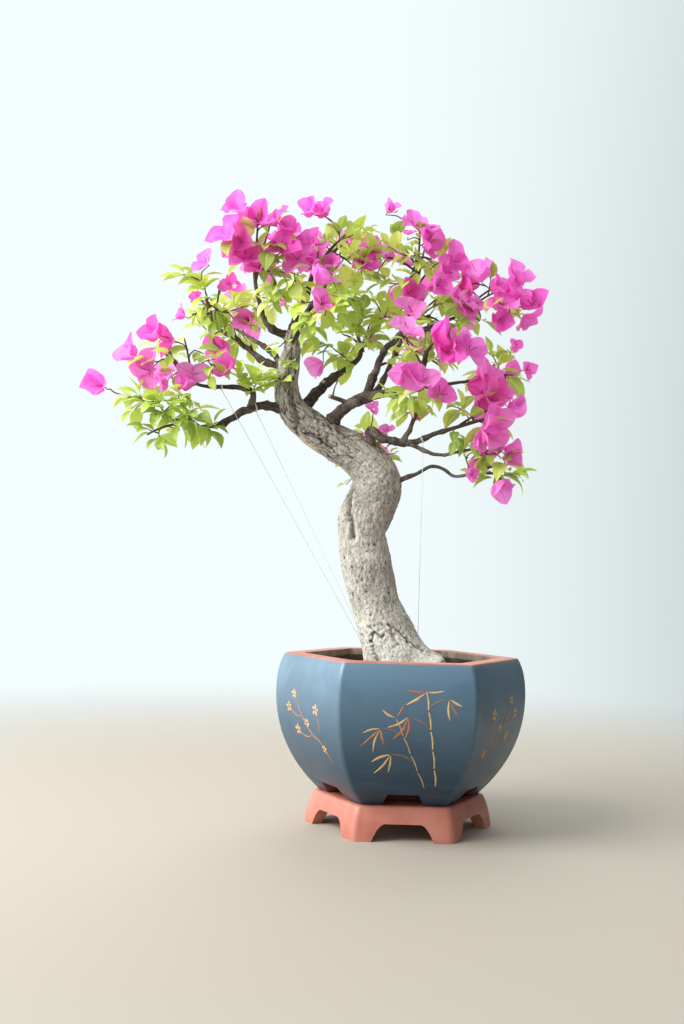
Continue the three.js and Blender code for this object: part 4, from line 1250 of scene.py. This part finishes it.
def newBlade(form, root, heading, facing, size, tint, rng):
    length = rng.uniform(*form["length"]) * size
    blade = {"root": root, "heading": heading, "facing": facing, "tint": tint, "length": length}
    blade["width"] = length * rng.uniform(*form["slender"])
    for key, limits in form["bends"].items():
        blade[key] = rng.uniform(*limits)
    return blade


def bladeFinishes(name, form):
    made = []
    for i, rgb in enumerate(form["tints"]):
        glow = np.minimum(np.array(rgb) + form["glow"], 255)
        made.append(tissueFinish(f"{name}_{i}", rgb, glow, form["roughness"], form["through"]))
    return made + [tissueFinish(*form["rib"])]


# All blades of a kind as one mesh from arrays, bent, folded and rippled by rows and columns
def bladeMesh(name, form, blades, materials):
    along, wide, across = (np.array(form[key], float) for key in ("along", "wide", "across"))
    count, nu, nv = len(blades), len(along), len(across)
    given = {key: np.array([blade[key] for blade in blades], float) for key in blades[0]}
    heading = given["heading"] / np.linalg.norm(given["heading"], axis=1)[:, None]
    side = np.cross(given["facing"], heading)
    side /= np.linalg.norm(side, axis=1)[:, None] + tiny
    facing = np.cross(heading, side)
    u, v = along[None, :, None], across[None, None, :]
    length, width, bend, fold, cup, wave, pucker, phase, swing = (
        given[key][:, None, None] for key in ("length", "width", *form["bends"]))
    curl = np.where(np.abs(bend) < 1e-3, 1e-3, bend)
    half = width / 2 * wide[None, :, None]
    w = bladeWaves
    ripple = wave * np.sin(phase + w["ripples"] * u + w["sidesApart"] * np.sign(v)) * np.abs(v) ** 2
    dimple = pucker * np.sin(w["dimplesAlong"] * u + 2 * phase) * np.cos(w["dimplesAcross"] * v + phase)
    lift = half * (fold * np.abs(v) + cup * v * v + ripple + dimple)
    x = length * np.sin(curl * u) / curl + lift * np.sin(bend * u)
    y = half * v + swing * length * u * u
    z = lift * np.cos(bend * u) - length * (1 - np.cos(curl * u)) / curl
    points = given["root"][:, None, None] + x[..., None] * heading[:, None, None]
    points = points + y[..., None] * side[:, None, None] + z[..., None] * facing[:, None, None]
    cells = np.array([(r * nv + c, r * nv + c + 1, (r + 1) * nv + c + 1, (r + 1) * nv + c)
                      for r in range(nu - 1) for c in range(nv - 1)])
    faces = (np.arange(count)[:, None, None] * nu * nv + cells[None]).reshape(-1, 4)
    rib = np.tile(np.arange(nv - 1) == nv // 2 - 1, nu - 1)
    slots = np.where(rib[None], len(materials) - 1, given["tint"].astype(int)[:, None]).ravel()
    return makePiece(name, points.reshape(-1, 3), faces.tolist(), materials, slots)


# What has grown so far
class Grower:
    def __init__(self):
        self.twigs, self.tubes = newBatch(), newBatch()
        self.leaves, self.bracts, self.spots = [], [], []

    def twig(self, path, thick, thin, sides, slot=0):
        addTube(self.twigs, path, np.linspace(thick, thin, len(path)), sides, slot)

    # One flower: three papery bracts round an axis, some with a small tube
    def flower(self, centre, axis, size, tint, rng):
        f = flowerSet
        axis = unit(axis)
        side, other = crossWays(axis, 0.01)
        first, spread = rng.uniform(0, fullTurn), rng.uniform(*f["spread"])
        base = np.asarray(centre) - axis * f["depth"] * size
        for k in range(3):
            angle = first + k * fullTurn / 3 + rng.uniform(-f["turnJitter"], f["turnJitter"])
            radial = side * math.cos(angle) + other * math.sin(angle)
            tilt = spread + rng.uniform(-f["tiltJitter"], f["tiltJitter"])
            heading = axis * math.cos(tilt) + radial * math.sin(tilt)
            inside = axis * math.sin(tilt) - radial * math.cos(tilt)
            self.bracts.append(newBlade(bractSet, base + radial * 0.8, heading, inside, size, tint, rng))
            luck = rng.random(2)
            if luck[0] >= f["tubeShare"]:
                continue
            start = base + radial * 1.2 + inside * 0.6
            tip = start + heading * f["tubeLength"] * size + inside * 2.4
            line = quadBend(start, (start + tip) / 2 + inside * 1.4, tip, 4)
            addTube(self.tubes, line, f["tubeRadii"], 5)
            if luck[1] < f["starShare"]:
                self.star(tip, unit(heading + inside * 0.6), rng)

    # The small white star at the mouth of an open tube
    def star(self, tip, axis, rng):
        side, other = crossWays(axis, 0.02)
        turns = rng.uniform(0, 6.28) + np.arange(10) * math.pi / 5
        ring = []
        for k, angle in enumerate(turns):
            reach, rise = flowerSet["starReach"][k % 2], flowerSet["starRise"][k % 2]
            ring.append(tip + (side * math.cos(angle) + other * math.sin(angle)) * reach + axis * rise)
        faces = [(10, k, (k + 1) % 10) for k in range(10)]
        addToBatch(self.tubes, ring + [tip + axis * 0.2], faces, 1)


grower = Grower()


# The nearest place on the twigs so far from which a new one could leave for a point
def nearestFoot(network, end):
    spots = np.vstack([path for path, _ in network])
    ways = np.vstack([way for _, way in network])
    gap = end - spots
    reach = np.linalg.norm(gap, axis=1)
    ahead = (gap * ways).sum(1) / (reach + tiny)
    best = np.argmin(reach * (1.25 - 0.35 * ahead))
    return spots[best], ways[best]


def twigPath(foot, way, end, rng):
    g = growthSet
    span = np.linalg.norm(end - foot)
    bend = foot + way * span * 0.28 + (end - foot) * 0.3 + upward * span * g["twigRise"] * 0.6
    path = evenly(quadBend(foot, bend, end, 24), g["twigStep"])
    share = np.linspace(0, 1, len(path))[:, None]
    wander = np.column_stack([noiseAt(path, 11, s) for s in rng.uniform(0, 50, 3)])
    return path + wander * np.sin(math.pi * share) * min(span * 0.06, g["twigWander"])


def pickTint(weights, rng):
    weights = np.array(weights, float)
    return int(rng.choice(len(weights), p=weights / weights.sum()))


# One or two flowers at the end of a twig, each on its stalk
def growHeads(spot, end, axis, scale, placed, rng):
    s = spraySet
    tint = pickTint(bractSet["weights"], rng)
    heads = 1 if placed else 1 + int(rng.random() < s["twoHeads"])
    side, other = crossWays(axis, 0.05)
    first = rng.uniform(0, fullTurn)
    for k in range(heads):
        angle = first + k * growthSet["leafTurn"]
        off = side * math.cos(angle) + other * math.sin(angle)
        lean, back = (s["headLean"], s["headBack"]) if k else (0.0, 0)
        centre = spot + off * s["headGap"] * lean - axis * back
        grower.twig(quadBend(end, end + axis * 4, centre - axis * 7, 3), s["thin"], 0.5, 4, 1)
        grower.flower(centre, axis + off * lean, scale * rng.uniform(*s["headSizes"]), tint, rng)


# A twig to a place, with its leaves by turns or its head of blossom; one tint to a spray, with darker greens
# likelier deep inside a mass as painted shade
def growSpray(network, kind, spot, heart, rng, placed, deep=False):
    s = spraySet
    scale = spot[3] if len(spot) > 3 else 1.0
    spot = np.asarray(spot[:3], float)
    outward = unit(spot - heart)
    viewer = np.array([0, -1.0, 0]) * s["toViewer"][int(placed)]
    axis = unit(outward * s["outward"] + viewer + upward * s["upward"] + rng.normal(0, s["loose"], 3))
    leafy = kind == "leaf"
    end = spot - outward * s["leafShort"] if leafy else spot - axis * s["headShort"]
    foot, way = nearestFoot(network, end)
    path = twigPath(foot, way, end, rng)
    span = np.linalg.norm(end - foot)
    thick = s["thick"] + min(span, s["longest"]) * s["thicken"]
    grower.twig(path, thick, s["thin"], 5, 0 if span > s["woody"] else 1)
    ways = directions(path)
    cut = max(2, int(len(path) * s["joinShare"]))
    network.append((path[:cut], ways[:cut]))
    # deep inside a mass the weights are reversed towards the darker greens: painted shade
    tint = pickTint(leafSet["weights"][::-1] if deep else leafSet["weights"], rng)
    if leafy:
        leaves = int(rng.integers(*s["leaves"]))
        starts = np.linspace(s["leavesFrom"], 1.0, leaves)
    else:
        growHeads(spot, end, axis, scale, placed, rng)
        leaves = int(rng.integers(*s["lowLeaves"]))
        starts = rng.uniform(*s["lowLeavesAt"], leaves)
    ahead = outward * 0.35 if leafy else -axis * 0.3
    first = rng.uniform(0, fullTurn)
    for k, start in enumerate(starts):
        at = int(start * (len(path) - 1))
        way = ways[at]
        side, other = crossWays(way, 0.02)
        angle = first + k * growthSet["leafTurn"]
        off = side * math.cos(angle) + other * math.sin(angle) * 0.55
        last = leafy and k >= leaves - s["tipLeaves"]
        heading = unit(off * (0.5 if last else 1.0) + way * 0.55 + ahead + upward * 0.12)
        facing = unit(upward + outward * 0.25 + rng.normal(0, 0.22, 3))
        size = rng.uniform(*s["tipSizes" if last else "leafSizes"])
        grower.leaves.append(newBlade(leafSet, path[at], heading, facing, size * scale, tint, rng))


def evenWays(count):
    golden = math.pi * (3 - math.sqrt(5))
    turn = np.arange(count) * golden
    z = 1 - 2 * (np.arange(count) + 0.5) / count
    flat = np.sqrt(1 - z * z)
    return np.column_stack([flat * np.cos(turn), flat * np.sin(turn), z])


def massDepth(mass, point):
    return np.linalg.norm((np.asarray(point) - mass[1]) / mass[2])


# A mass's stem and first twigs by the source's rule, then the placed sprays, then finer twigs in what is left
def growMass(index, name, mass):
    g = growthSet
    bough, heart, reach, share = mass
    heart, reach = np.array(heart, float), np.array(reach, float)
    rng = np.random.default_rng(500 + index)
    path, radii = limbs[bough]
    heading = unit(path[-1] - path[-3])
    span = np.linalg.norm(heart - path[-1])
    stem = evenly(quadBend(path[-1] - heading * 3, path[-1] + heading * span * 0.45, heart, 30), 3)
    grower.twig(stem, radii[-1], max(g["stemThinnest"], radii[-1] * g["stemTaper"]), 8)
    network = [(stem, directions(stem))]
    volume = 4 / 3 * math.pi * reach.prod()
    for i, way in enumerate(evenWays(max(4, round(volume / g["roomPerTwig"])))):
        edge = 1 / np.linalg.norm(way / reach)
        end = heart + way * max(edge - g["endRoom"], g["shortest"] * edge)
        at = g["firstAt"] + (g["lastAt"] - g["firstAt"]) * ((i * g["nextAt"]) % 1)
        start = stem[int(at * (len(stem) - 1))]
        rise = upward * g["twigRise"] * np.linalg.norm(end - start)
        line = evenly(quadBend(start, (start + end) / 2 + rise, end, 20), 3)
        grower.twig(line, *g["twigRadii"], 6)
        network.append((line, directions(line)))

    inner = heart * 0.5 + np.array(g["crownHeart"]) * 0.5
    placed = [("blossom", spot) for spot in blossomSpots.get(name, [])]
    placed += [("leaf", spot) for spot in leafSpots.get(name, [])]
    placed.sort(key=lambda row: np.linalg.norm(np.array(row[1][:3]) - heart))
    for kind, spot in placed:
        growSpray(network, kind, spot, inner, rng, True)
        grower.spots.append(np.array(spot[:3], float))

    others = [other for key, other in massSet.items() if key != name]
    room = g["roomBehind"] if name.startswith("blossom_back") else g["roomPerSpray"]
    for way in evenWays(max(6, round(volume / room))):
        spot = heart + way * reach * rng.uniform(*g["sprayReach"])
        own = massDepth(mass, spot)
        taken = np.array(grower.spots)
        crowded = len(taken) and np.min(np.linalg.norm(taken - spot, axis=1)) < g["sprayRoom"]
        foreign = any(massDepth(other, spot) < own for other in others)
        front = spot[1] < heart[1] + 0.2 * reach[1] and name in leafSpots and "back" not in name
        luck = rng.random(2)
        if crowded or foreign or (front and luck[0] > g["frontShare"]):
            continue
        kind = "blossom" if luck[1] < share * (0.0 if front else g["behindBlossom"]) else "leaf"
        growSpray(network, kind, spot, inner, rng, False, own < g["paintedShadeDepth"])
        grower.spots.append(spot)


def growSpurs():
    rng = np.random.default_rng(900)
    trunkPath = evenly(limbCurve(np.array(trunkSet["stations"], float)[:, :3])[0], 3)
    high = trunkPath[:, 2] > growthSet["spurLowest"]
    network = [(path, directions(path)) for path, _ in limbs.values()]
    network.append((trunkPath[high], directions(trunkPath)[high]))
    for kind, spots in spurSpots:
        for spot in spots:
            inward = (20, 25, -20) if spot[1] < 40 else (0, -25, -20)
            growSpray(list(network), kind, spot, np.array(spot[:3]) + inward, rng, True)


def makeFoliage():
    for index, (name, mass) in enumerate(massSet.items()):
        growMass(index, name, mass)
    growSpurs()
    leafNodes = [name for name in massSet if name.startswith("leaves")]
    blossomNodes = [name for name in massSet if name.startswith("blossom")]
    leafFinishes, bractFinishes = bladeFinishes("leaf_green", leafSet), bladeFinishes("bract_pink", bractSet)
    tubeRough = flowerSet["roughness"]
    tubeFinishes = [plainFinish(name, rgb, tubeRough) for name, rgb in flowerSet["tints"].items()]
    settle(makeBatch("twigs", grower.twigs, [twigBark, shootBark]), "bough_bark")
    settle(bladeMesh("leaves", leafSet, grower.leaves, leafFinishes), "leaf", *leafNodes)
    settle(bladeMesh("bracts", bractSet, grower.bracts, bractFinishes), "bract", *blossomNodes)
    settle(makeBatch("flower_tubes", grower.tubes, tubeFinishes), "bract")
    print(len(grower.leaves), "leaves,", len(grower.bracts) // 3, "flowers")


makeFoliage()


# Guy wires, taut from a loop round a bough to the root flare

wireSet = {
    "radius": 0.4,
    "loopGap": 0.5,
    "pitch": 0.9,
    # bough, place along it, lower end
    "runs": {
        "guy_wire_left": ("bough_left_rise", 0.76, (-30, -10, 180)),
        "guy_wire_inner": ("bough_left_low", 0.42, (-28, -18, 180)),
        "guy_wire_right": ("bough_right_low", 0.76, (18, -8, 185)),
    },
}


def makeWires():
    batch = newBatch()
    for bough, at, foot in wireSet["runs"].values():
        path, radii = limbs[bough]
        k = int(at * (len(path) - 1))
        top, way = path[k], directions(path)[k]
        foot = np.array(foot, float)
        side = unit(np.cross(way, unit(foot - top)))
        below = unit(np.cross(side, way))
        reach, pitch = radii[k] + wireSet["loopGap"], wireSet["pitch"]
        loop = [top + (below * math.cos(a) + side * math.sin(a)) * reach + way * (a / 6.3 - 1) * pitch
                for a in np.linspace(0, 2 * fullTurn, 40)]
        for line in (np.array(loop), np.linspace(top + below * reach, foot, 14)):
            addTube(batch, line, np.full(len(line), wireSet["radius"]), 6)
    settle(makeBatch("guy_wires", batch, [wireMetal]), "wire", *wireSet["runs"])


makeWires()


# Floor, light and air

stageSet = {
    "radius": 2600, "around": 96, "below": 0.05, "tone": (172, 163, 150), "fadeFrom": 0.45, "fadeTo": 1.7,
    # place, target, size in m, power, colour, spread in degrees
    "lamps": {
        "key_window": ((-1450, -620, 1400), (-60, 0, 420), 1.4, 52, (1.0, 0.99, 0.97), 180),
        "back_glow": ((200, 1400, 1500), (-60, 0, 550), 1.6, 17, (1.0, 1.0, 1.0), 180),
        "crown_fill": ((800, -850, 760), (95, -20, 472), 0.3, 0.095, (1.0, 0.99, 0.98), 21),
    },
    "air": (0.9, 0.985, 1, 1),
    # how bright the air is away from the left, before the plant, and at the window
    "airRight": 0.18, "airFront": 0.6, "airWindow": 2.2,
}


# A pale floor that fades into the air away from the plant
def makeStage():
    s = stageSet
    pale = Finish("pale_floor", 0.9, s["tone"])
    away = put(pale.tree, "ShaderNodeVectorMath", {0: pale.spot}, operation="LENGTH").outputs["Value"]
    fade = ramp(pale.tree, away, s["fadeFrom"], s["fadeTo"], kind="SMOOTHSTEP")
    mixSurface(pale.material, fade, put(pale.tree, "ShaderNodeBsdfTransparent"))
    angle = np.arange(s["around"]) * fullTurn / s["around"]
    points = np.column_stack([np.cos(angle), np.sin(angle), np.zeros(s["around"])]) * s["radius"]
    floor = makePiece("floor", points - (0, 0, s["below"]), [tuple(range(s["around"]))], [pale.done()])


def addLamp(name, place, target, size, power, colour, spread):
    data = bpy.data.lights.new(name, "AREA")
    data.shape = "DISK"
    data.size = size
    data.energy = power
    data.spread = math.radians(spread)
    data.color = colour
    lamp = bpy.data.objects.new(name, data)
    bpy.context.scene.collection.objects.link(lamp)
    place, target = inFrame(place), inFrame(target)
    away = unit(place - target)
    right = unit(np.cross(upward, away))
    aim = Matrix(np.column_stack([right, np.cross(away, right), away]).tolist())
    lamp.location = place.tolist()
    lamp.rotation_euler = aim.to_euler()


# Pale air, brightest on the left and behind the plant
def setAir():
    world = bpy.data.worlds.new("pale_air")
    world.use_nodes = True
    tree = world.node_tree
    back = tree.nodes["Background"]
    back.inputs["Color"].default_value = stageSet["air"]
    whole = put(tree, "ShaderNodeTexCoord").outputs["Generated"]
    x, y, _ = put(tree, "ShaderNodeSeparateXYZ", {0: whole}).outputs
    across = ramp(tree, x, 0.0, 0.8, 1.0, stageSet["airRight"], "SMOOTHSTEP")
    front = ramp(tree, reckon(tree, "MULTIPLY_ADD", x, -0.5, y), -1.0, 0.2, stageSet["airFront"], 1.0)
    window = ramp(tree, x, -0.95, -0.4, stageSet["airWindow"], 1.0, "SMOOTHSTEP")
    strength = reckon(tree, "MULTIPLY", reckon(tree, "MULTIPLY", across, front), window)
    tree.links.new(strength, back.inputs["Strength"])
    bpy.context.scene.world = world


makeStage()
for name, lamp in stageSet["lamps"].items():
    addLamp(name, *lamp)
setAir()
bpy.context.scene.view_settings.view_transform = "Standard"
print("stage and light set")
